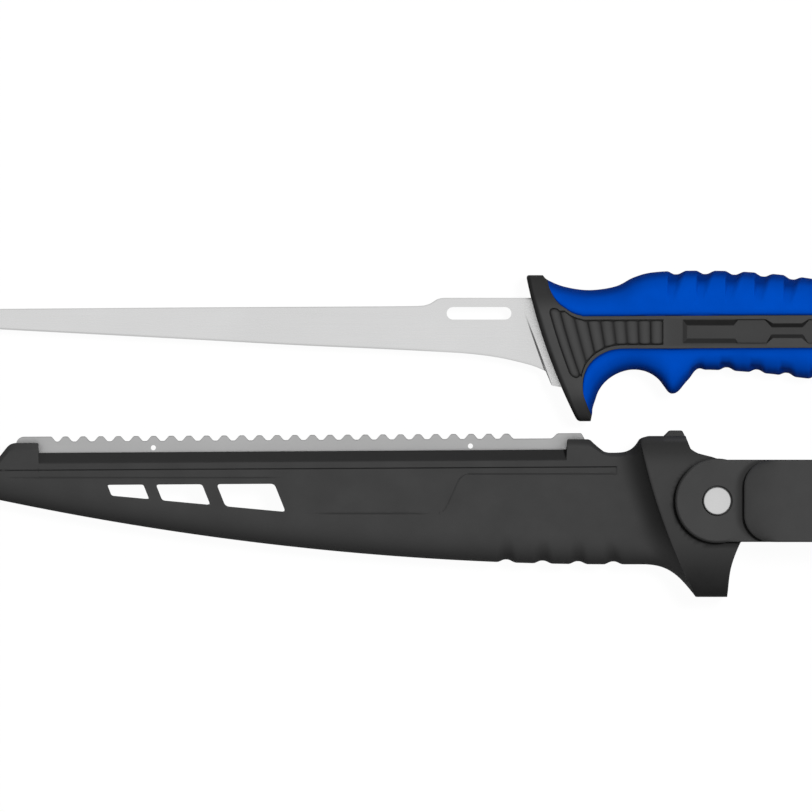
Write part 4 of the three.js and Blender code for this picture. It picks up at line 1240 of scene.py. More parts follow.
    def _painted_core_shade(self, along: Array, height: Array) -> Array:
        """Gives the painted shade on the core at the guard's edges, along the band and on the panel's walls.

        Args:
            along: Stations.
            height: Heights.

        Returns:
            The painted shade from 0 to 1.
        """
        guard = taper(along, 7.0, 12.0)
        front = self.front_shade * taper(along, 0.75, 1.9)
        head = self.head_shade * smooth(height, 4.5, 11.5) * guard
        foot = self.foot_shade * smooth(-height, 16.0, 22.5) * guard
        seam = np.minimum(height - self.form.border(along, False), self.form.border(along, True) - height)
        low_top, _, _, high_top = self._panel_lines(along)
        block = (height > high_top) | (height < low_top)
        block = block & (along > self.block_start) & (along < self.block_end)
        # Painted shade along the band, which leaves the raised blocks and the frame by the seams lighter.
        band = self.band_shade * smooth(along, 34.0, 40.0) * smooth(seam, 0.6, 1.1) * ~block
        _, wall = self._panel_slope(along, height)
        return np.maximum.reduce([front, head, foot, band, wall])

    def _core_heights(self, along: Array) -> Array:
        """Lays the core's columns, which keep to the ends of the ribs and to the panel's wall lines.

        Args:
            along: Stations, rows by 1.

        Returns:
            Shares of the oval's half height, from the lower seam to the upper one.
        """
        form = self.form
        lower, upper = self._rib_limits(along)
        panel = self._panel_lines(along)
        blend = smooth(along, 36.6, 41.0)
        ribs = (lower, lower + self.cap_length, upper - self.cap_length, upper)
        low_top, low_foot, high_foot, high_top = (a + (b - a) * blend for a, b in zip(ribs, panel))
        wall = np.linspace(0.0, 1.0, 14)
        floor = np.linspace(0.0, 1.0, 34)[1:-1]
        parts = [
            low_top + (low_foot - low_top) * wall,
            low_foot + (high_foot - low_foot) * floor,
            high_foot + (high_top - high_foot) * wall,
        ]
        inner = form.angle(along, beside(*parts))
        lanes = []
        for top, way, high in ((low_top, -1.0, False), (high_top, 1.0, True)):
            border = form.border(along, high)
            step = np.minimum(self.rib_edge, 0.2 * np.abs(border - top))
            near = form.angle(along, top + way * step * np.array([0.34, 0.67, 1.0]))
            share = np.array([0.08, 0.18, 0.3, 0.44, 0.58, 0.7, 0.8, 0.88, 0.94, 0.98, 1.0])
            far = near[:, -1:] + (form.angle(along, border) - near[:, -1:]) * share
            lanes.append(beside(near, far))
        turn = np.cos(beside(lanes[0][:, ::-1], inner, lanes[1]))
        _, _, _, power = form.section(along)
        return np.clip(signed_power(turn, 2.0 / power), -1.0, 1.0)

    def core(self) -> Object:
        """Makes the black core: one ring of front, wall, back and wall carried along the stations.

        Returns:
            The core.
        """
        form = self.form
        rows = runs(
            (0.0, 0.9, 0.11), (0.9, 3.0, 0.2), (3.0, 5.2, 0.1), (9.0, 37.0, 0.19), (37.0, 41.4, 0.6),
            (41.4, 43.4, 0.14), (43.4, 56.6, 0.9), (56.6, 58.2, 0.14), (58.2, 65.8, 0.9),
            (65.8, 68.6, 0.14), (68.6, 76.6, 0.9), (76.6, 79.2, 0.14), (79.2, 85.6, 0.9),
            (85.6, 87.4, 0.2), (87.4, 101.8, 1.0), (101.8, 104.0, 0.16), (104.0, 107.4, 0.3),
            (107.4, form.band_end, 0.06),
        )
        along = np.unique(chain(rows, form.seam_rows()).round(6))[:, None]
        skin_points, way = form.skin(along, self._core_heights(along))
        height = skin_points[..., 1]
        wide = np.broadcast_to(along, height.shape)
        ribs, valley = self._rib_relief(wide, height)
        relief = ribs + self.panel_depth * self._panel_slope(wide, height)[0]
        relief = np.minimum(relief, 0.9 * skin_points[..., 2])
        lobes = [smooth(along, form.lobe_start(up), form.lobe_start(up) + 1.5) for up in (False, True)]
        near_low = self.core_round * (1 - edge_round(height - height[:, :1], self.core_round)) * lobes[0]
        near_top = self.core_round * (1 - edge_round(height[:, -1:] - height, self.core_round)) * lobes[1]
        front = skin_points + way * (near_low + near_top)[..., None]
        front[..., 2] -= relief
        closing = taper(along, form.band_end - 2.0, form.band_end)
        low_wall = skin_points[:, :1] + way[:, :1] * (self.core_wall * lobes[0] * closing)[..., None]
        top_wall = skin_points[:, -1:] + way[:, -1:] * (self.core_wall * lobes[1] * closing)[..., None]
        ring = [front, top_wall, top_wall * MIRROR, front[:, ::-1] * MIRROR, low_wall * MIRROR, low_wall]
        # Painted shade of the guard's edges, the band, the panel's walls and the ribs' valleys.
        sunk = np.maximum(self._painted_core_shade(wide, height), valley)
        blank = np.zeros((len(along), 1))
        hollow = [sunk, blank, blank, sunk[:, ::-1], blank, blank]
        skin = Skin()
        skin.grid(beside(*ring), around=True, hollow=beside(*hollow))
        # The guard's front face takes a share of the edge's painted shade.
        skin.bridge(front[0], front[0] * MIRROR, self.face_shade * sunk[0], 8)
        return skin.make("black_core", self.place)

    # Blue grip

    def _grip_grooves(self, along: Array, points: Array) -> tuple[Array, Array]:
        """Sinks the finger grooves that run down from the back and up from the belly.

        Each back groove starts sharply at its left edge and eases out to the right, where its border
        leans back to the left further down. The belly grooves are shorter and nearly even.

        Args:
            along: Stations.
            points: Points of the skin.

        Returns:
            Depths, and the painted shade in the grooves, which fades sooner than the depth.
        """
        x, y = points[..., 0], points[..., 1]
        fall = unit((self.form.top(along) - y) / self.top_notch_reach)
        rise = unit((y - self.form.low(along)) / self.low_notch_reach)
        depth = np.zeros_like(x)
        dark = np.zeros_like(x)
        for i in range(self.top_notch_count):
            left = self.top_notch_first + i * self.top_notch_pitch - self.top_notch_lead
            share = (x - left) / (self.top_notch_width - self.top_notch_narrowing * fall)
            steep = 0.42 - 0.28 * smooth(fall, 0.0, 0.2)
            bite = smooth(share, 0.0, steep) * taper(share, 0.52, 1.0)
            depth += self.top_notch_depth * bite * taper(fall, 0.2, 1.0)
            dark += bite * (0.68 * taper(fall, 0.1, 0.5) + 0.2 * taper(fall, 0.4, 0.9))
        for i in range(self.low_notch_count):
            left = self.low_notch_first + i * self.low_notch_pitch - self.low_notch_lead
            share = (x - left) / self.low_notch_width
            steep = 0.45 - 0.25 * smooth(rise, 0.0, 0.3)
            bite = smooth(share, 0.0, steep) * taper(share, 0.55, 1.0)
            depth += self.low_notch_depth * bite * taper(rise, 0.15, 1.0)
            dark += 0.6 * bite * taper(rise, 0.15, 0.62)
        return depth, dark

    def _grip_strip(self, skin: Skin, along: Array, upper: bool) -> None:
        """Adds one blue strip: from the front seam over the edge to the back seam, and its inside.

        Args:
            skin: Takes the faces.
            along: Stations from the lobe's tip to the butt.
            upper: Whether it is the strip over the back or the one under the belly.
        """
        form = self.form
        along = along[:, None]
        seam = form.angle(along, form.border(along, upper))
        goal = 0.0 if upper else np.pi
        turn = np.cos(seam + (goal - seam) * np.linspace(0.0, 1.0, 41) ** 1.3)
        _, _, _, power = form.section(along)
        share = signed_power(turn, 2.0 / power)
        share[:, -1] = 1.0 if upper else -1.0
        base, way = form.skin(along, share)
        step = np.linalg.norm(np.diff(base, axis=1), axis=-1)
        inset = beside(np.zeros_like(along), np.cumsum(step, axis=1))
        seam_left = taper(along, form.band_end - 0.8, form.band_end)
        roll = self.seam_round * (1.0 - edge_round(inset, self.seam_round)) * seam_left
        grooves, shade = self._grip_grooves(np.broadcast_to(along, inset.shape), base)
        limit = 0.35 * inset[:, -1:]
        rim = form.edge_distance(base)
        # Painted shade on the edges that turn away, and a painted dark line along the seams.
        turned = 0.62 * taper(rim, 0.5, 2.9) + 0.22 * taper(rim, 1.5, 6.0)
        seam_shade = (0.62 * taper(inset, 0.3, 0.8) + 0.34 * taper(inset, 0.3, 2.2)) * seam_left
        outer = base + way * np.minimum(roll + grooves, limit)[..., None]
        thick = self.grip_wall * smooth(along, along[0, 0], along[0, 0] + 5.0)
        chosen = np.unique(chain([0, 2], np.arange(5, 41, 5)))
        inner = base[:, chosen] + way[:, chosen] * np.minimum(thick, 0.45 * inset[:, -1:])[..., None]
        inner[..., 2] = np.maximum(inner[..., 2], 0.0)
        inside = beside(inner * MIRROR, inner[:, ::-1])
        chord = np.linspace(1.0, 0.0, inside.shape[1])[None, :, None]
        straight = base[:, :1] * (1 - chord) + base[:, :1] * MIRROR * chord
        flat = smooth(along, form.band_end - 4.0, form.band_end)[..., None]
        inside = inside + (straight - inside) * flat
        banded = along[:, 0] <= form.band_end + 1e-6
        ring = beside(outer, outer[:, -2::-1] * MIRROR, inside)
        dark = unit(np.maximum(shade + turned, seam_shade))
        sunk = beside(dark, dark[:, -2::-1], np.zeros(inside.shape[:2]))
        skin.grid(ring[banded], around=True, hollow=sunk[banded])
        butt = along[:, 0] >= form.band_end - 1e-6
        self._butt_side(skin, along[butt, 0], outer[butt], dark[butt], upper)

    def _butt_side(self, skin: Skin, along: Array, outer: Array, dark: Array, upper: bool) -> None:
        """Adds both sides of the all-blue butt, with the lanyard hole through the lower strip.

        Args:
            skin: Takes the faces.
            along: Stations of the butt.
            outer: The front side's points.
            dark: How much painted shade they get, for the material.
            upper: Whether it is the upper strip, which has no hole.
        """
        if upper:
            skin.grid(outer, hollow=dark)
            skin.grid(outer * MIRROR, hollow=dark)
            return
        hole = arc(self.lanyard_middle, self.lanyard_radius, 0.0, 360.0, 61)[:-1]
        flipped = outer[:, ::-1]
        keep, rings = pierce(along, flipped[..., 0], flipped[..., 1], hole, hole[:, 0])
        middle, reach, _, _ = self.form.section(rings[..., 0])
        points, _ = self.form.skin(rings[..., 0], (rings[..., 1] - middle) / reach)
        fronts = lift(rings, points[..., 2])
        for side in (np.ones(3), MIRROR):
            skin.grid(flipped * side, keep=keep, hollow=dark[:, ::-1])
            skin.grid(closed(fronts * side))
        skin.grid(closed(chain(fronts[-1:], fronts[-1:] * MIRROR)))

    def grip(self) -> Object:
        """Makes the blue grip from its upper and its lower strip, which meet in the butt.

        Returns:
            The grip.
        """
        form = self.form
        end_room = 8.0
        ending = form.length - np.linspace(math.sqrt(end_room), 0.05, 26) ** 2
        palm = runs(
            (30.0, 36.0, 0.4), (36.0, 92.0, 0.26), (92.0, 104.0, 0.5),
            (104.0, form.band_end, 0.25), (form.band_end, form.length - end_room, 0.6),
        )
        neck = runs((9.0, 14.0, 0.2), (14.0, 30.0, 0.45))
        seam = form.seam_rows()
        skin = Skin()
        for upper in (True, False):
            lobe = seam[seam >= form.lobe_start(upper) - 1e-5]
            self._grip_strip(skin, chain(lobe, neck[1:], palm[1:], ending[1:]), upper)
        return skin.make("blue_grip_moulding", self.place)


@dataclass
class SheathForm(SideView):
    """The sheath's outlines and the heights of its outer and inner faces over the parting plane."""

    guard: GuardLine = field(default_factory=GuardLine)
    nose: float = -232.0
    lean_start: float = -43.0
    lean_full: float = -26.0
    flare_line: float = -18.0
    flare_width: float = 8.0
    seat_floor: float = -17.0
    body_half: float = 7.5
    nose_half: float = 2.8
    collar_half: float = 14.1
    collar_drop: float = 28.37
    collar_rise: float = 19.06
    body_wall: float = 2.4
    tab_half: float = 5.0
    socket_half: float = 11.1
    slot_half: float = 0.75
    parting: float = 0.12
    lip_left: float = 14.07
    lip_right: float = 15.05
    belly_depth: float = 18.8
    belly_start: float = -30.0
    scallops: tuple[float, ...] = (-62.0, -51.3, -40.9, -30.5)
    seam_left: float = 8.9
    seam_climb: float = 0.0059
    panel_low: float = -3.8
    panel_high: float = 7.85
    panel_right: float = -29.6
    window_line: float = 6.75
    line_depth: float = 0.4
    faint_depth: float = 0.22
    window_spans: tuple[tuple[float, float, float], ...] = (
        (-179.75, 10.75, 0.5), (-165.4, 13.7, 0.8), (-147.5, 17.1, 1.1),
    )
    window_slant: float = 0.4
    tab_corners: tuple[tuple[float, float], ...] = (
        (-17.0, 16.6), (-15.7, 19.0), (-14.0, 20.7), (-10.2, 20.7), (-8.3, 16.9), (-8.9, 16.2),
    )
    tab_round: float = 0.5
    # Painted shade, 0 to 1, on the flare, the collar, the belly and the top edges, and the painted shadow of
    # the disc.
    flare_shade: float = 0.62
    brow_shade: float = 0.55
    foot_shade: float = 0.75
    belly_shade: float = 0.56
    bevel_shade: float = 0.42
    block_shade: float = 0.35
    disc_shadow: float = 0.75

    def __post_init__(self) -> None:
        """Works out the outlines once, with the rim."""
        super().__post_init__()
        rim = self._rim_line()
        self._rim = rim[::-1, 1], (rim[:, 0] - self.guard.front(rim[:, 1]))[::-1]

    def slant(self, along: Array, y: Array) -> Array:
        """Gives how far stations lean at heights: not in the body, like the guard at the mouth."""
        return self.guard.front(y) * smooth(along, self.lean_start, self.lean_full)

    def station(self, x: Array, y: Array) -> Array:
        """Finds the stations that points lie on, by halving.

        Args:
            x: Places along.
            y: Heights.

        Returns:
            Stations.
        """
        low = np.array(x, dtype=float) - 20.0
        high = low + 40.0
        for _ in range(34):
            middle = 0.5 * (low + high)
            past = middle + self.slant(middle, y) > x
            high = np.where(past, middle, high)
            low = np.where(past, low, middle)
        return 0.5 * (low + high)

    def lip(self, x: Array) -> Array:
        """The lip under the scaler strip, a straight line with a slight climb."""
        return self.lip_left + (self.lip_right - self.lip_left) * (x + 198.0) / 152.0

    def seam(self, x: Array) -> Array:
        """The long groove's height, a straight line with a slight climb."""
        return self.seam_left + (x + 211.0) * self.seam_climb

    def _belly(self, x: Array) -> Array:
        """The body's lower line: level at the mouth, then a parabola up to the nose.

        Args:
            x: Places along.

        Returns:
            Heights.
        """
        share = unit((self.belly_start - x) / (self.belly_start - self.nose))
        line = -self.belly_depth + (self.belly_depth + 4.7) * share**2
        for middle in self.scallops:
            line = line + 0.85 * taper(np.abs(x - middle), 0.3, 2.9)
        return line

    def _top_line(self) -> Array:
        """The upper line: nose, left block, lip, right block, valley and collar.

        Returns:
            Points from the nose to the mouth.
        """
        nose = spline([(-232.0, 8.0), (-230.5, 9.0), (-226.0, 10.0), (-216.0, 11.4), (-212.4, 12.4)], 60)
        block = [
            (-211.4, 13.0), (-209.6, 15.3), (-208.8, 16.2), (-208.0, 16.7), (-207.0, 17.0),
            (-200.35, 17.0), (-200.0, 16.8), (-199.85, self.lip(-199.85)),
        ]
        right = [
            (-44.35, self.lip(-44.4)), (-44.1, 17.9), (-43.8, 18.1), (-37.9, 18.1), (-37.2, 17.8),
            (-33.6, 14.7),
        ]
        valley = spline(
            [(-33.2, 14.45), (-31.4, 14.13), (-27.6, 14.3), (-25.4, 15.1), (-24.0, 16.3), (-22.8, 18.0)], 50
        )
        collar = [(-22.2, 18.6), (-21.2, self.collar_rise), (12.0, self.collar_rise)]
        return np.vstack([[(-232.0, 4.7)], nose, block, right, valley, collar])

    def _low_line(self) -> Array:
        """The lower line: nose, belly with its scallops, flare and collar.

        Returns:
            Points from the nose to the mouth.
        """
        x = np.linspace(self.nose, -22.0, 1500)
        body = join(x, self._belly(x))
        end = self.flare_line + float(self.guard.front(-self.collar_drop))
        flare = bezier(
            [(-22.0, -18.8), (-14.5, -18.8), (-11.5, -21.5), (end, -self.collar_drop)], 60
        )
        return np.vstack([body, flare[1:], [(30.0, -self.collar_drop)]])

    def _rim_line(self) -> Array:
        """The mouth's rim, seen from the side.

        Returns:
            Points from the top to the foot.
        """
        points = [
            (-7.8, 15.3), (-5.5, 13.95), (-0.5, 12.6), (6.2, 9.6), (9.8, 4.4), (10.6, -2.0),
            (9.2, -8.0), (6.3, -13.5), (4.0, -20.1), (3.0, -self.collar_drop),
        ]
        tongue = spline(points, 160)
        return np.vstack([[(-9.3, 19.3), (-9.0, 18.3)], tongue, [(3.0, -30.0)]])

    def rim(self, height: Array) -> Array:
        """Gives the rim's station at a height."""
        return np.interp(height, *self._rim)

    def half(self, along: Array) -> Array:
        """Gives half the thickness: a slim body, then a hollow quarter round up to the collar.

        Args:
            along: Stations.

        Returns:
            Half thicknesses.
        """
        table = [
            (self.nose, self.nose_half), (self.nose + 3, self.nose_half + 1.0),
            (self.nose + 14, self.nose_half + 1.9), (self.nose + 60, self.body_half - 1.4),
            (self.nose + 130, self.body_half - 0.4), (-60.0, self.body_half),
        ]
        body = follow(table, along)
        rise = unit((along - self.flare_line + self.flare_width) / self.flare_width)
        return body + (self.collar_half - body) * (0.7 * rise**2.2 + 0.3 * (1.0 - np.sqrt(1.0 - rise**2)))

    def _top_edge(self, along: Array) -> tuple[Array, Array]:
        """Gives how thick the upper edge is and how far its slope reaches down.

        Args:
            along: Stations.

        Returns:
            Shares of the thickness, and distances below the edge.
        """
        table = [
            (-232.0, 0.3, 2.5), (-212.0, 0.6, 2.0), (-199.95, 0.8, 2.0), (-199.8, 0.24, 3.1),
            (-44.4, 0.24, 3.1), (-44.2, 0.8, 2.0), (-36.0, 0.72, 2.0), (-31.0, 0.8, 1.1),
            (-23.0, 0.8, 1.1), (-17.6, 0.7, 4.5), (20.0, 0.7, 4.5),
        ]
        place, share, reach = zip(*table)
        return np.interp(along, place, share), np.interp(along, place, reach)

    def _lines(self, x: Array, y: Array) -> Array:
        """Gives the depth of the moulded lines: the long groove and the outline of the panel below it.

        Args:
            x: Places along.
            y: Heights.

        Returns:
            Depths.
        """
        right, low, high = self.panel_right, self.panel_low, self.panel_high
        before = taper(x, right, right + 0.3)
        long_line = self.line_depth * taper(np.abs(y - self.seam(x)), 0.03, 0.2) * before
        upper = taper(np.abs(y - high), 0.05, 0.3) * smooth(x, -73.9, -73.0) * before
        bend = [
            (low, -82.2), (-2.9, -80.4), (-0.8, -79.2), (4.4, -76.9), (6.4, -75.9), (7.5, -74.6),
            (high, -73.4),
        ]
        side = taper(np.abs(x - follow(bend, y)), 0.05, 0.3) * taper(np.abs(y - 2.0), 5.7, 5.9)
        lower = taper(np.abs(y - low), 0.05, 0.3) * smooth(x, -122.0, -112.0) * taper(x, -82.4, -81.8)
        end = taper(np.abs(x - right), 0.05, 0.3) * smooth(y, 7.7, 7.9) * taper(y, 10.0, 10.2)
        window_line = taper(np.abs(y - self.window_line), 0.05, 0.28)
        window_line = window_line * smooth(x, -211.0, -206.0) * taper(x, -134.0, -127.0)
        faint = np.maximum.reduce([upper, side, lower, end, 0.8 * window_line])
        return np.maximum(long_line, self.faint_depth * faint)

    def relief(self, x: Array, y: Array) -> Array:
        """Gives the depth of all that is sunk in the outer face: lines, and the scallops' fade.

        Args:
            x: Places along.
            y: Heights.

        Returns:
            Depths.
        """
        along = self.station(x, y)
        up = unit((y - self.low(along)) / 6.5)
        fade = np.zeros_like(x)
        for middle in self.scallops:
            fade = fade + 0.9 * taper(np.abs(x - middle), 0.6, 3.2) * (1.0 - up) ** 1.6
        return self._lines(x, y) + fade

    def tone(self, x: Array, y: Array) -> Array:
        """Gives the painted shade on the outer face, for the material.

        Args:
            x: Places along.
            y: Heights.

        Returns:
            The painted shade from 0 to 1.
        """
        # Painted shade in the moulded lines and on the scallops' fades.
        lines = 1.8 * self._lines(x, y)
        scallops = 0.25 * (self.relief(x, y) - self._lines(x, y))
        return np.maximum(lines, np.minimum(self.painted_shade(x, y) + scallops, 1.0))

    def painted_shade(self, x: Array, y: Array) -> Array:
        """Gives the painted shade in the flare, on the collar, belly and top edges, and the painted shadow of
        the disc.

        Args:
            x: Places along.
            y: Heights.

        Returns:
            The painted shade from 0 to 1.
        """
        along = self.station(x, y)
        wide = 9.0 + 3.0 * smooth(-y, 4.0, 14.0)
        line = self.flare_line
        flare = smooth(along, line - wide, line - 2.2) * (along <= line + 0.02)
        flare = flare * (self.flare_shade - 0.25 * smooth(-y, 6.0, 16.0))
        mouth = along > line
        down = self.top(along) - y
        tab = smooth(y, 17.3, 17.8) * taper(np.abs(x + 12.1), 3.2, 3.8)
        brow = self.brow_shade * smooth(y, 9.5, 16.5) * (0.3 + 0.7 * smooth(down, 0.2, 2.4)) * (1.0 - tab)
        foot = self.foot_shade * smooth(-y, 8.0, 27.0)
        collar = np.maximum(foot, brow) + 0.13 * smooth(-y, -5.0, 5.0)
        rise = unit((y - self.low(along)) / 8.8)
        belly = self.belly_shade * (1.0 - rise) ** 1.5 * ~mouth
        _, reach = self._top_edge(along)
        bevel = self.bevel_shade * taper(down, 0.9 * reach, 1.1 * reach)
        bevel = bevel * (x > -199.85) * (x < -44.3)
        block = self.block_shade * taper(down, 0.8, 1.9) * (x >= -44.3) * (x < -33.5)
        # Painted shadow of the loop's disc on the collar, reaching further down and to the left.
        away = np.hypot(np.minimum(x + 0.15, 0.0), y + 0.45)
        disc = self.disc_shadow * taper(away, 12.9, 13.6) * mouth
        return np.maximum.reduce([flare, collar * mouth, belly, bevel, block, disc])

    def outer(self, x: Array, y: Array) -> Array:
        """Gives the outer face's height over the parting plane.

        It is the half thickness times the rise of the upper and of the lower edge, less the relief.

        Args:
            x: Places along.
            y: Heights.

        Returns:
            Distances from the parting plane.
        """
        along = self.station(x, y)
        edge, reach = self._top_edge(along)
        collar = smooth(along, self.flare_line - 4.0, self.flare_line + 1.0)
        above = edge + (1.0 - edge) * edge_round(np.maximum(self.top(along) - y, 0.0), reach, 1.0 + collar)
        deep = 7.0 + 5.0 * collar
        base = 0.42 * collar
        below = base + (1.0 - base) * edge_round(np.maximum(y - self.low(along), 0.0), deep, 2.3)
        height = self.half(along) * above * below
        return np.maximum(height - np.minimum(self.relief(x, y), 0.5 * height), self.parting)

    def inner(self, x: Array, y: Array) -> Array:
        """Gives the inner face's height: the blade's channel, the guard's socket and the strip's slot.

        Args:
            x: Places along.
            y: Heights.

        Returns:
            Distances from the parting plane.
        """
        along = self.station(x, y)
        down, up = self.top(along) - y, y - self.low(along)
        roof = np.interp(along, [self.nose, -60.0, -46.0, 0.0], [7.6, 8.9, 11.3, 11.3])
        inside = np.minimum(roof - y, up - self.body_wall)
        channel = np.maximum(np.minimum(self.half(along), self.body_half) - self.body_wall, 0.0)
        channel = channel * edge_round(np.maximum(inside, 0.0), 1.5, 3.0) * (inside > 0)
        channel *= smooth(along, -223.4, -222.6)
        room = np.minimum(down - 1.75, up - 1.75)
        socket = self.socket_half * edge_round(np.maximum(room, 0.0), 1.2, 4.0) * (room > 0)
        socket *= smooth(along, self.seat_floor, self.seat_floor + 0.6)
        slot = self.slot_half * (down < 4.2) * (x > -206.9) * (x < -34.7) * (along > -204.5) * (along < -31.0)
        seam = self.parting * taper(np.minimum(down, up), 0.2, 0.5)
        return np.maximum.reduce([channel, socket, slot, seam])

    def windows(self) -> list[Array]:
        """Draws the three windows, slanted like the guard and rounded at the corners.

        Returns:
            Their outlines.
        """
        outlines = []
        for left, width, radius in self.window_spans:
            corners = []
            for x, top in ((left, True), (left, False), (left + width, False), (left + width, True)):
                high = 4.65 + 0.0065 * (x + 179.4)
                low = 1.3 - 0.0975 * (x + 178.1)
                corners.append((x, high) if top else (x + self.window_slant * (high - low), low))
            outlines.append(rounded(np.array(corners), radius))
        return outlines


def rounded(corners: Array, radius: float) -> Array:
    """Rounds a polygon's corners with quadratic curves.

    Args:
        corners: The corners in order.
        radius: How far along each side the round starts.

    Returns:
        The rounded outline with points along its sides.
    """
    pieces = []
    for before, corner, after in zip(np.roll(corners, 1, axis=0), corners, np.roll(corners, -1, axis=0)):
        enter = corner + (before - corner) * radius / np.linalg.norm(before - corner)
        leave = corner + (after - corner) * radius / np.linalg.norm(after - corner)
        reach = after + (corner - after) * radius / np.linalg.norm(corner - after)
        pieces.append(bezier([tuple(enter), tuple(corner), tuple(leave)], 8))
        pieces.append(leave + (reach - leave) * np.linspace(0.05, 0.95, 20)[:, None])
    return np.vstack(pieces)


def prism(skin: Skin, outline: Array, low: float, high: float, edge: float) -> None:
    """Adds a closed prism with rounded upper and lower edges.

    The outline shrinks towards its middle by the edge round and then down to a point on each cap.

    Args:
        skin: Takes the faces.
        outline: The side view in order, points by 2.
        low: Lowest height.
        high: Highest height.
        edge: Radius of the edge rounds.
    """
    middle = 0.5 * (outline.min(axis=0) + outline.max(axis=0))
    reach = np.linalg.norm(outline - middle, axis=1).mean()
    turn = np.radians(np.linspace(0.0, 90.0, 6))
    inset = edge * (1.0 - np.sin(turn))
    rise = edge * (1.0 - np.cos(turn))
    shrink = chain([reach], [0.4 * reach], inset, inset[::-1], [0.4 * reach], [reach])
    level = chain([low, low], low + rise, (high - rise)[::-1], [high, high])
    scale = (1.0 - shrink / reach)[:, None, None]
    rings = middle + (outline - middle)[None] * scale
    skin.grid(lift(rings, np.broadcast_to(level[:, None], rings.shape[:2])), around=True)


@dataclass
class Sheath:
    """The sheath: two moulded shells and the scaler strip between them."""

    place: Place = Place(86.8, -19.8, 14.1)
    form: SheathForm = field(default_factory=SheathForm)
    strip_left: float = -206.6
    strip_right: float = -35.0
    strip_half: float = 0.6
    strip_proud: float = 4.8
    strip_hidden: float = 3.8
    tooth_pitch: float = 5.2
    tooth_first: float = -192.0
    tooth_count: int = 26
    tooth_depth: float = 1.5
    strip_corner: float = 2.4
    strip_bevel: float = 0.14
    strip_bevel_height: float = 0.16
    strip_holes: tuple[tuple[float, float], ...] = ((-166.1, 15.6), (-72.6, 16.1))
    strip_hole_radius: float = 0.75

    def build(self) -> None:
        """Makes the shells and the strip."""
        front = self.shell(Face.FRONT, "front_shell")
        back = self.shell(Face.BACK, "back_shell")
        dress(front, BLACK_PLASTIC, "black_plastic", Body.SHEATH, "sheath_front_shell")
        dress(back, BLACK_PLASTIC, "black_plastic", Body.SHEATH, "sheath_back_shell")
        dress(self.strip(), STRIP_STEEL, "strip_steel", Body.SHEATH, "scaler_strip")

    def _columns(self, along: Array) -> Array:
        """Gives the heights of the grid's columns at each station.

        They gather at the outlines and lie close along the moulded lines.

        Args:
            along: Stations, rows by 1.

        Returns:
            Heights, rows by columns.
        """
        form = self.form
        low, high = form.low(along), form.top(along)
        tall = high - low
        stops = []
        levels = (form.panel_low, form.window_line, form.panel_high, form.seam(along))
        for share, level in zip((0.30, 0.66, 0.7, 0.78), levels):
            stops.append(np.clip(level, low + (share - 0.12) * tall, low + (share + 0.1) * tall))
        for k in range(1, 4):
            stops[k] = np.maximum(stops[k], stops[k - 1] + 0.035 * tall)
        grip = np.minimum(0.3, 0.01 * tall)
        bunch = 1.0 - np.cos(0.5 * np.pi * np.linspace(0.0, 1.0, 27))
        parts = [low + (stops[0] - grip - low) * bunch[:-1]]
        for k, count in ((0, 18), (1, 2), (2, 2), (3, 0)):
            parts.append(stops[k] + grip * np.linspace(-1.0, 1.0, 7))
            if count:
                share = np.linspace(0.0, 1.0, count + 2)[1:-1]
                start, end = stops[k] + grip, stops[k + 1] - grip
                parts.append(start + (end - start) * share)
        parts.append(high + (stops[3] + grip - high) * bunch[-2::-1])
        return beside(*parts)

    def _grid(self) -> tuple[Array, Array, Array]:
        """Lays the shells' grid: slanted stations, the last ones bent onto the rim.

        Returns:
            The stations, and x and y of the points.
        """
        form = self.form
        body = runs(
            (-232.0, -228.0, 0.25), (-228.0, -212.0, 0.9), (-212.0, -206.5, 0.35), (-206.5, -201.2, 0.7),
            (-201.2, -199.4, 0.1), (-199.4, -120.0, 0.95), (-120.0, -83.0, 0.95), (-83.0, -71.0, 0.22),
            (-71.0, -66.0, 0.7), (-66.0, -44.7, 0.4), (-44.7, -43.7, 0.1), (-43.7, -30.2, 0.3),
            (-30.2, -29.0, 0.12), (-29.0, -25.0, 0.3), (-25.0, -21.5, 0.24), (-21.5, form.flare_line, 0.12),
        )[:, None]
        y = self._columns(body)
        x = body + form.slant(body, y)
        share = (np.linspace(0.0, 1.0, 26)[1:] ** 1.15)[:, None]
        collar_y = self._columns(form.flare_line + 8.0 * share)
        collar = form.flare_line + (form.rim(collar_y) - form.flare_line) * share
        x = np.vstack([x, collar + form.guard.front(collar_y)])
        return chain(body[:, 0], 100.0 + share[:, 0]), x, np.vstack([y, collar_y])

    def shell(self, face: Face, name: str) -> Object:
        """Makes one shell: outer and inner height surfaces over one grid, joined at every border.

        Args:
            face: Which half it is.
            name: The object's name.

        Returns:
            The shell.
        """
        form = self.form
        along, x, y = self._grid()
        holes = [(window, form.station(window[:, 0], window[:, 1])) for window in form.windows()]
        keep, rings = pierce_all(along, x, y, holes)
        skin = Skin()
        outer = join(x, y, form.outer(x, y) * face.value)
        inner = join(x, y, form.inner(x, y) * face.value)
        inner[..., 2] = face.value * np.minimum(np.abs(inner[..., 2]), np.abs(outer[..., 2]))
        # Painted shade of the outer face, also on the walls at its borders and round the windows.
        dark = form.tone(x, y)
        skin.grid(outer, keep=keep, hollow=dark)
        skin.grid(inner, keep=keep)
        skin.close_borders(outer, inner, dark)
        for ring in rings:
            place = ring[..., 0], ring[..., 1]
            above = lift(ring, form.outer(*place) * face.value)
            below = lift(ring, form.inner(*place) * face.value)
            skin.grid(closed(above), hollow=closed(form.tone(*place)))
            skin.grid(closed(below))
            skin.grid(closed(chain(above[-1:], below[-1:])))
        tab = rounded(np.array(form.tab_corners), form.tab_round)
        inside, outside = sorted((form.parting * face.value, form.tab_half * face.value))
        prism(skin, tab, inside, outside, form.tab_round)
        return skin.make(name, self.place)

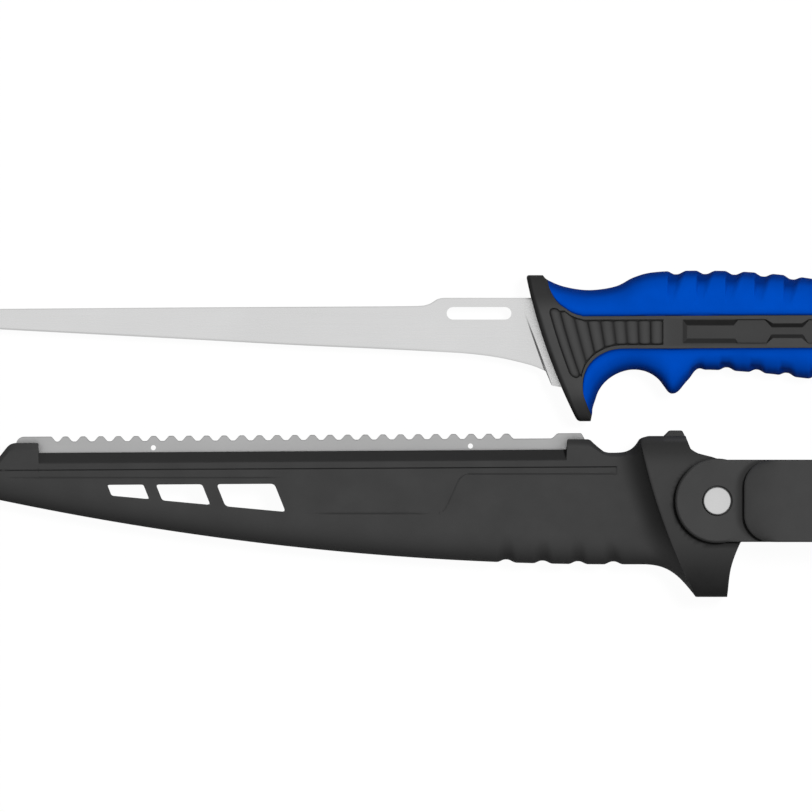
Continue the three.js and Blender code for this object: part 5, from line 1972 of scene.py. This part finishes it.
    def _strip_top(self, x: Array) -> Array:
        """The strip's upper line: a plain start, rounded teeth, a low flat and a broad end tooth.

        Args:
            x: Places along.

        Returns:
            Heights.
        """
        crest = self.form.lip(x) + self.strip_proud
        phase = (x - self.tooth_first) / self.tooth_pitch
        near = np.clip(np.round(phase), 0, self.tooth_count - 1)
        tooth = taper(np.abs(phase - near), 0.08, 0.43)
        start = taper(x, -196.4, -194.6)
        end = smooth(x, -48.9, -46.6)
        bump = np.maximum.reduce([tooth, start, end])
        fall = 2.8 * smooth(x, -40.2, -38.0) + 2.2 * smooth(x, -38.2, -35.0)
        corner = round_off(self.strip_left + self.strip_corner - x, self.strip_corner)
        return crest - self.tooth_depth * (1.0 - bump) - fall - corner

    def strip(self) -> Object:
        """Makes the scaler strip: two bevelled faces over rows along x, with two small holes.

        Returns:
            The strip.
        """
        along = runs((self.strip_left, -204.0, 0.1), (-204.0, -197.0, 0.5), (-197.0, self.strip_right, 0.15))
        share = chain([0.0, 0.04], np.linspace(0.1, 0.85, 22), [0.9, 0.94, 0.965, 0.982, 1.0])
        x = np.broadcast_to(along[:, None], (len(along), len(share)))
        low = self.form.lip(x) - self.strip_hidden
        high = self._strip_top(x)
        y = low + (high - low) * share
        holes = [arc(spot, self.strip_hole_radius, 0.0, 360.0, 41)[:-1] for spot in self.strip_holes]
        keep, rings = pierce_all(along, x, y, [(hole, hole[:, 0]) for hole in holes])
        bevel = self.strip_bevel * (1.0 - unit((high - y) / self.strip_bevel_height))
        skin = Skin()
        faces = []
        for face in Face:
            faces.append(join(x, y, (self.strip_half - bevel) * face.value))
            skin.grid(faces[-1], keep=keep)
        for ring in rings:
            sides = [lift(ring, np.full(ring.shape[:2], self.strip_half * f.value)) for f in Face]
            for side in sides:
                skin.grid(closed(side))
            skin.grid(closed(chain(*(side[-1:] for side in sides))))
        skin.close_borders(*faces)
        return skin.make("scaler_teeth", self.place)


@dataclass
class BeltLoop:
    """The belt loop with its round end, and the rivet that it swivels on."""

    place: Place = Place(86.8, -19.8, 14.1)
    disc_radius: float = 12.45
    half_width: float = 12.1
    length: float = 75.0
    disc_bottom: float = 15.4
    disc_top: float = 18.0
    raised_bottom: float = 24.0
    raised_top: float = 26.6
    raised_start: float = 7.85
    raised_corner: float = 8.0
    bow_drop: float = 5.0
    bow_reach: float = 14.0
    slot_start: float = 17.7
    slot_end: float = 70.0
    corner: float = 5.0
    edge: float = 0.7
    rivet_radius: float = 4.15
    rivet_well: float = 4.43
    well_depth: float = 0.9
    well_border: float = 0.6
    strap_reach: float = 20.0
    outer_round: float = 0.8
    inner_round: float = 1.3
    shank_radius: float = 2.4
    tail_radius: float = 3.5
    tail_bottom: float = 11.2
    tail_top: float = 11.6
    head_gap: float = 0.25
    head_side: float = 0.35
    head_round: float = 0.5
    head_height: float = 1.25
    dome_bulge: float = 0.18

    def build(self) -> None:
        """Makes the loop and the rivet."""
        dress(self.loop(), LOOP_PLASTIC, "loop_plastic", Body.LOOP, "belt_loop")
        dress(self.rivet(), RIVET_STEEL, "rivet_steel", Body.SHEATH, "pivot_rivet")

    def _ring(self, x: tuple[float, float], z: tuple[float, float], radius: float, grow: Array) -> Array:
        """Draws a rounded rectangle for each row, grown by a different amount.

        Args:
            x: Left and right.
            z: Bottom and top.
            radius: Corner radius.
            grow: How much each row's rectangle is grown.

        Returns:
            Rows by points by 2, anticlockwise from the lower left.
        """
        reach = radius + grow[:, None]
        parts = []
        for k, (cx, cz) in enumerate(((x[0], z[0]), (x[1], z[0]), (x[1], z[1]), (x[0], z[1]))):
            turn = np.radians(np.linspace(180.0 + 90.0 * k, 270.0 + 90.0 * k, 9))
            px = cx + (radius if k in (0, 3) else -radius) + reach * np.cos(turn)
            pz = cz + (radius if k in (0, 1) else -radius) + reach * np.sin(turn)
            parts.append(join(px, pz))
        sides = []
        share = np.linspace(0.0, 1.0, 48)[None, 1:-1, None]
        for k in range(4):
            after = parts[(k + 1) % 4]
            sides += [parts[k], parts[k][:, -1:] * (1 - share) + after[:, :1] * share]
        return beside(*sides)

    def _corner_pull(self, y: Array) -> Array:
        """Gives how far the raised part's rounded corners draw its left end back at a height."""
        return round_off(np.abs(y) - (self.half_width - self.raised_corner), self.raised_corner)

    def _hoop(self, skin: Skin) -> None:
        """Adds the hoop round the belt: an outer and an inner ring carried across the width.

        The outer ring bows down to its left end by the square of the share of the way.

        Args:
            skin: Takes the faces.
        """
        flat = self.half_width - self.edge
        bend = flat + self.edge * np.sin(np.linspace(0.15, 1.57, 8))
        y = chain(np.linspace(0.0, flat, 22), bend)
        y = chain(-y[:0:-1], y)
        inset = round_off(np.abs(y) - flat, self.edge)
        left = self._corner_pull(y)
        right = round_off(np.abs(y) - (self.half_width - self.corner), self.corner)
        span, rise = (self.raised_start, self.length), (self.disc_bottom, self.raised_top)
        outer = self._ring(span, rise, self.outer_round, -inset)
        span, rise = (self.slot_start, self.slot_end), (self.disc_top, self.raised_bottom)
        inner = self._ring(span, rise, self.inner_round, inset)
        bow = unit(1.0 - (outer[..., 0] - self.raised_start) / self.bow_reach) ** 2
        above = outer[..., 1] - self.disc_bottom
        outer[..., 1] -= above * bow * self.bow_drop / (self.raised_top - self.disc_bottom)
        pull_end = self.slot_start - 0.2
        rings = []
        for ring, end in ((outer, 1.0), (inner, 0.65)):
            x = ring[..., 0]
            pull = left[:, None] * unit((pull_end - x) / (pull_end - self.raised_start))
            push = end * right[:, None] * smooth(x, self.slot_end - 8.0, self.slot_end)
            rings.append(join(x + pull - push, y[:, None], ring[..., 1]))
        for ring in rings:
            skin.grid(ring, around=True)
        for row in (0, -1):
            pair = np.stack([rings[0][row], rings[1][row]])
            skin.grid(pair, around=True)

    def _disc(self, skin: Skin) -> None:
        """Adds the round end: a rounded plate profile carried round the plan's outline.

        Args:
            skin: Takes the faces.
        """
        angle = np.linspace(0.0, 2.0 * np.pi, 241)[:-1]
        cosine, sine = np.cos(angle), np.sin(angle)
        side = self.half_width / np.maximum(np.abs(sine), 1e-6)
        strap = np.minimum(self.strap_reach / np.maximum(cosine, 1e-6), side)
        reach = np.where((cosine > 0) & (strap > self.disc_radius), strap, self.disc_radius)
        turn = np.radians(np.linspace(0.0, 90.0, 7))
        drop = self.edge * (1.0 - np.cos(turn))
        draw = self.edge * (1.0 - np.sin(turn))
        well, top, bottom = self.rivet_well, self.disc_top, self.disc_bottom
        floor, start = top - self.well_depth, well + self.well_border
        rows = [(0.0, floor), (well - 0.15, floor), (well - 0.05, floor + 0.1), (well, top - 0.12)]
        rows += [(well + 0.12, top), (start, top)]
        rows += [(start + (reach - self.edge - start) * share, top) for share in np.linspace(0.08, 0.97, 18)]
        rows += [(reach - back, top - down) for down, back in zip(drop, draw)]
        rows += [(reach - back, bottom + down) for down, back in zip(drop[::-1], draw[::-1])]
        rows.append((0.0, bottom))
        radius = np.stack([np.broadcast_to(out, angle.shape) for out, _ in rows])
        height = np.stack([np.full_like(angle, up) for _, up in rows])
        x, y = radius * cosine, radius * sine
        # Painted shadow of the raised plate on the disc, and painted shade on the rim away from the lamp.
        foot = 0.62 * smooth(x - self._corner_pull(y), self.raised_start - 3.2, self.raised_start - 0.9)
        turned = smooth(-(0.9 * x + 0.45 * y) / self.disc_radius, 0.0, 0.4)
        rim = 0.7 * turned * smooth(np.hypot(x, y), self.disc_radius - 0.95, self.disc_radius - 0.35)
        skin.grid(join(x, y, height), around=True, hollow=np.maximum(foot, rim))

    def loop(self) -> Object:
        """Makes the belt loop from its hoop and its round end.

        Returns:
            The loop.
        """
        skin = Skin()
        self._hoop(skin)
        self._disc(skin)
        return skin.make("swivel_loop", self.place)

    def rivet(self) -> Object:
        """Makes the rivet: a domed head, a shank and a clinched tail turned round its axis.

        Returns:
            The rivet.
        """
        top = self.disc_top + self.head_gap
        turn = np.radians(np.linspace(0.0, 75.0, 8))
        across = self.rivet_radius - self.head_round + self.head_round * np.cos(turn)
        rim = join(across, top + self.head_side + self.head_round * np.sin(turn))
        dome = np.linspace(0.0, 1.0, 10)[1:, None]
        peak = np.array([[0.0, top + self.head_height]])
        face = rim[-1:] * (1 - dome) + peak * dome
        face[:, 1] += self.dome_bulge * (1.0 - dome[:, 0]) * dome[:, 0]
        tail = [
            (0.0, self.tail_bottom), (self.tail_radius, self.tail_bottom),
            (self.tail_radius, self.tail_top), (self.shank_radius, self.tail_top),
            (self.shank_radius, top), (self.rivet_radius, top),
        ]
        profile = np.vstack([tail, rim, face])
        angle = np.linspace(0.0, 2.0 * np.pi, 97)[:-1]
        out, up = profile[:, :1], profile[:, 1:]
        skin = Skin()
        skin.grid(join(out * np.cos(angle), out * np.sin(angle), up), around=True)
        return skin.make("domed_rivet", self.place)


# Studio


@dataclass
class Studio:
    """White table, soft overhead light and a camera that looks straight down from far away."""

    view_middle: tuple[float, float] = (-0.0048, 0.0081)
    view_width: float = 0.2395
    focus_height: float = 0.012
    distance: float = 8.0
    sensor: float = 36.0
    ambient: float = 0.14
    key_power: float = 57.7
    key_size: float = 0.4
    key_place: tuple[float, float, float] = (0.54, 0.32, 2.5)
    table_reach: float = 12.0
    table_drop: float = 0.0002
    table_grain: float = 900.0
    table_clouds: float = 6.0
    table_glow: float = 1.05
    glow_share: float = 0.92
    dim_below: float = 0.3
    bright_above: float = 0.9
    dim_gloss: float = 0.1

    def build(self) -> None:
        """Makes the floor, the world, the lamp and the camera."""
        self._floor()
        self._world()
        self._lamp()
        self._camera()
        bpy.context.scene.view_settings.view_transform = "Standard"

    def _floor(self) -> None:
        """Lays a large pale table that shows white and keeps a faint shadow."""
        mesh = bpy.data.meshes.new("table")
        signs = ((-1.0, -1.0), (1.0, -1.0), (1.0, 1.0), (-1.0, 1.0))
        corners = [(a * self.table_reach, b * self.table_reach, -self.table_drop) for a, b in signs]
        mesh.from_pydata(corners, [], [(0, 1, 2, 3)])
        made, tree, shader = blank_material("white_table")
        place = tree.add("ShaderNodeTexCoord").outputs["Object"]
        grain = tree.group(moulded_grain(), Vector=place, Grain=self.table_grain, Clouds=self.table_clouds)
        colour = tree.between(grain.outputs["Cloud"], grey(0.5), grey(0.53))
        tree.feed(shader, Base_Color=colour, Roughness=0.9)
        glow = tree.feed(tree.add("ShaderNodeEmission"), Color=grey(1.0), Strength=self.table_glow)
        mix = tree.add("ShaderNodeMixShader")
        path = tree.add("ShaderNodeLightPath")
        seen = tree.math("MAXIMUM", path.outputs["Is Camera Ray"], path.outputs["Is Transmission Ray"])
        share = tree.math("MULTIPLY", seen, self.glow_share)
        links = made.node_tree.links
        links.new(share, mix.inputs[0])
        links.new(shader.outputs["BSDF"], mix.inputs[1])
        links.new(glow.outputs["Emission"], mix.inputs[2])
        output = next(n for n in made.node_tree.nodes if n.type == "OUTPUT_MATERIAL")
        links.new(mix.outputs["Shader"], output.inputs["Surface"])
        mesh.materials.append(made)
        table = add_object("table", mesh)

    def _world(self) -> None:
        """Sets a world that looks white and lights the object only a little."""
        world = bpy.data.worlds.new("studio")
        bpy.context.scene.world = world
        world.use_nodes = True
        world.node_tree.nodes.clear()
        tree = Tree(world.node_tree)
        path = tree.add("ShaderNodeLightPath")
        way = tree.add("ShaderNodeTexCoord").outputs["Generated"]
        up = tree.feed(tree.add("ShaderNodeSeparateXYZ"), Vector=way).outputs["Z"]
        dim = tree.add("ShaderNodeMapRange", interpolation_type="SMOOTHSTEP")
        tree.feed(dim, Value=up, From_Min=self.dim_below, From_Max=self.bright_above)
        tree.feed(dim, To_Min=self.dim_gloss, To_Max=1.0)
        gloss = tree.math("MULTIPLY", path.outputs["Is Glossy Ray"], dim.outputs[0])
        white = tree.math("MAXIMUM", path.outputs["Is Camera Ray"], path.outputs["Is Transmission Ray"])
        strength = tree.math("MAXIMUM", tree.math("MAXIMUM", white, gloss), self.ambient)
        back = tree.feed(tree.add("ShaderNodeBackground"), Color=grey(1.0), Strength=strength)
        tree.feed(tree.add("ShaderNodeOutputWorld"), Surface=back.outputs["Background"])

    def _lamp(self) -> None:
        """Hangs one large soft lamp over the table."""
        lamp = bpy.data.lights.new("overhead", "AREA")
        lamp.shape = "DISK"
        lamp.size = self.key_size
        lamp.energy = self.key_power
        made = add_object("overhead", lamp)
        made.location = self.key_place
        made.rotation_euler = Vector(self.key_place).to_track_quat("Z", "Y").to_euler()
        made.visible_glossy = False
        made.visible_camera = False

    def _camera(self) -> None:
        """Sets a long lens that looks straight down, so that nothing shows in perspective."""
        data = bpy.data.cameras.new("camera")
        data.sensor_width = self.sensor
        data.lens = self.sensor * self.distance / self.view_width
        data.clip_start = 0.1
        data.clip_end = 40.0
        made = add_object("camera", data)
        made.location = (*self.view_middle, self.focus_height + self.distance)
        bpy.context.scene.camera = made


def dress_hidden_washers(nodes: dict[str, Object]) -> None:
    """Gives the two washers, which keep their CAD shape, their materials.

    Args:
        nodes: The CAD nodes by name.
    """
    for node, finish in (("rivet_washer", RIVET_STEEL), ("swivel_washer", WASHER_PLASTIC)):
        slots = nodes[node].data.materials
        slots.clear()
        slots.append(finish.material())
        LOG.info("%s: keeps its solid", node)


def main() -> None:
    """Loads the frame, then builds the studio, the knife, the sheath and the loop."""
    logging.basicConfig(level=logging.INFO, format="%(message)s")
    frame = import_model()
    Studio().build()
    Knife().build()
    Sheath().build()
    BeltLoop().build()
    dress_hidden_washers(frame["nodes"])


if __name__ == "__main__":
    main()
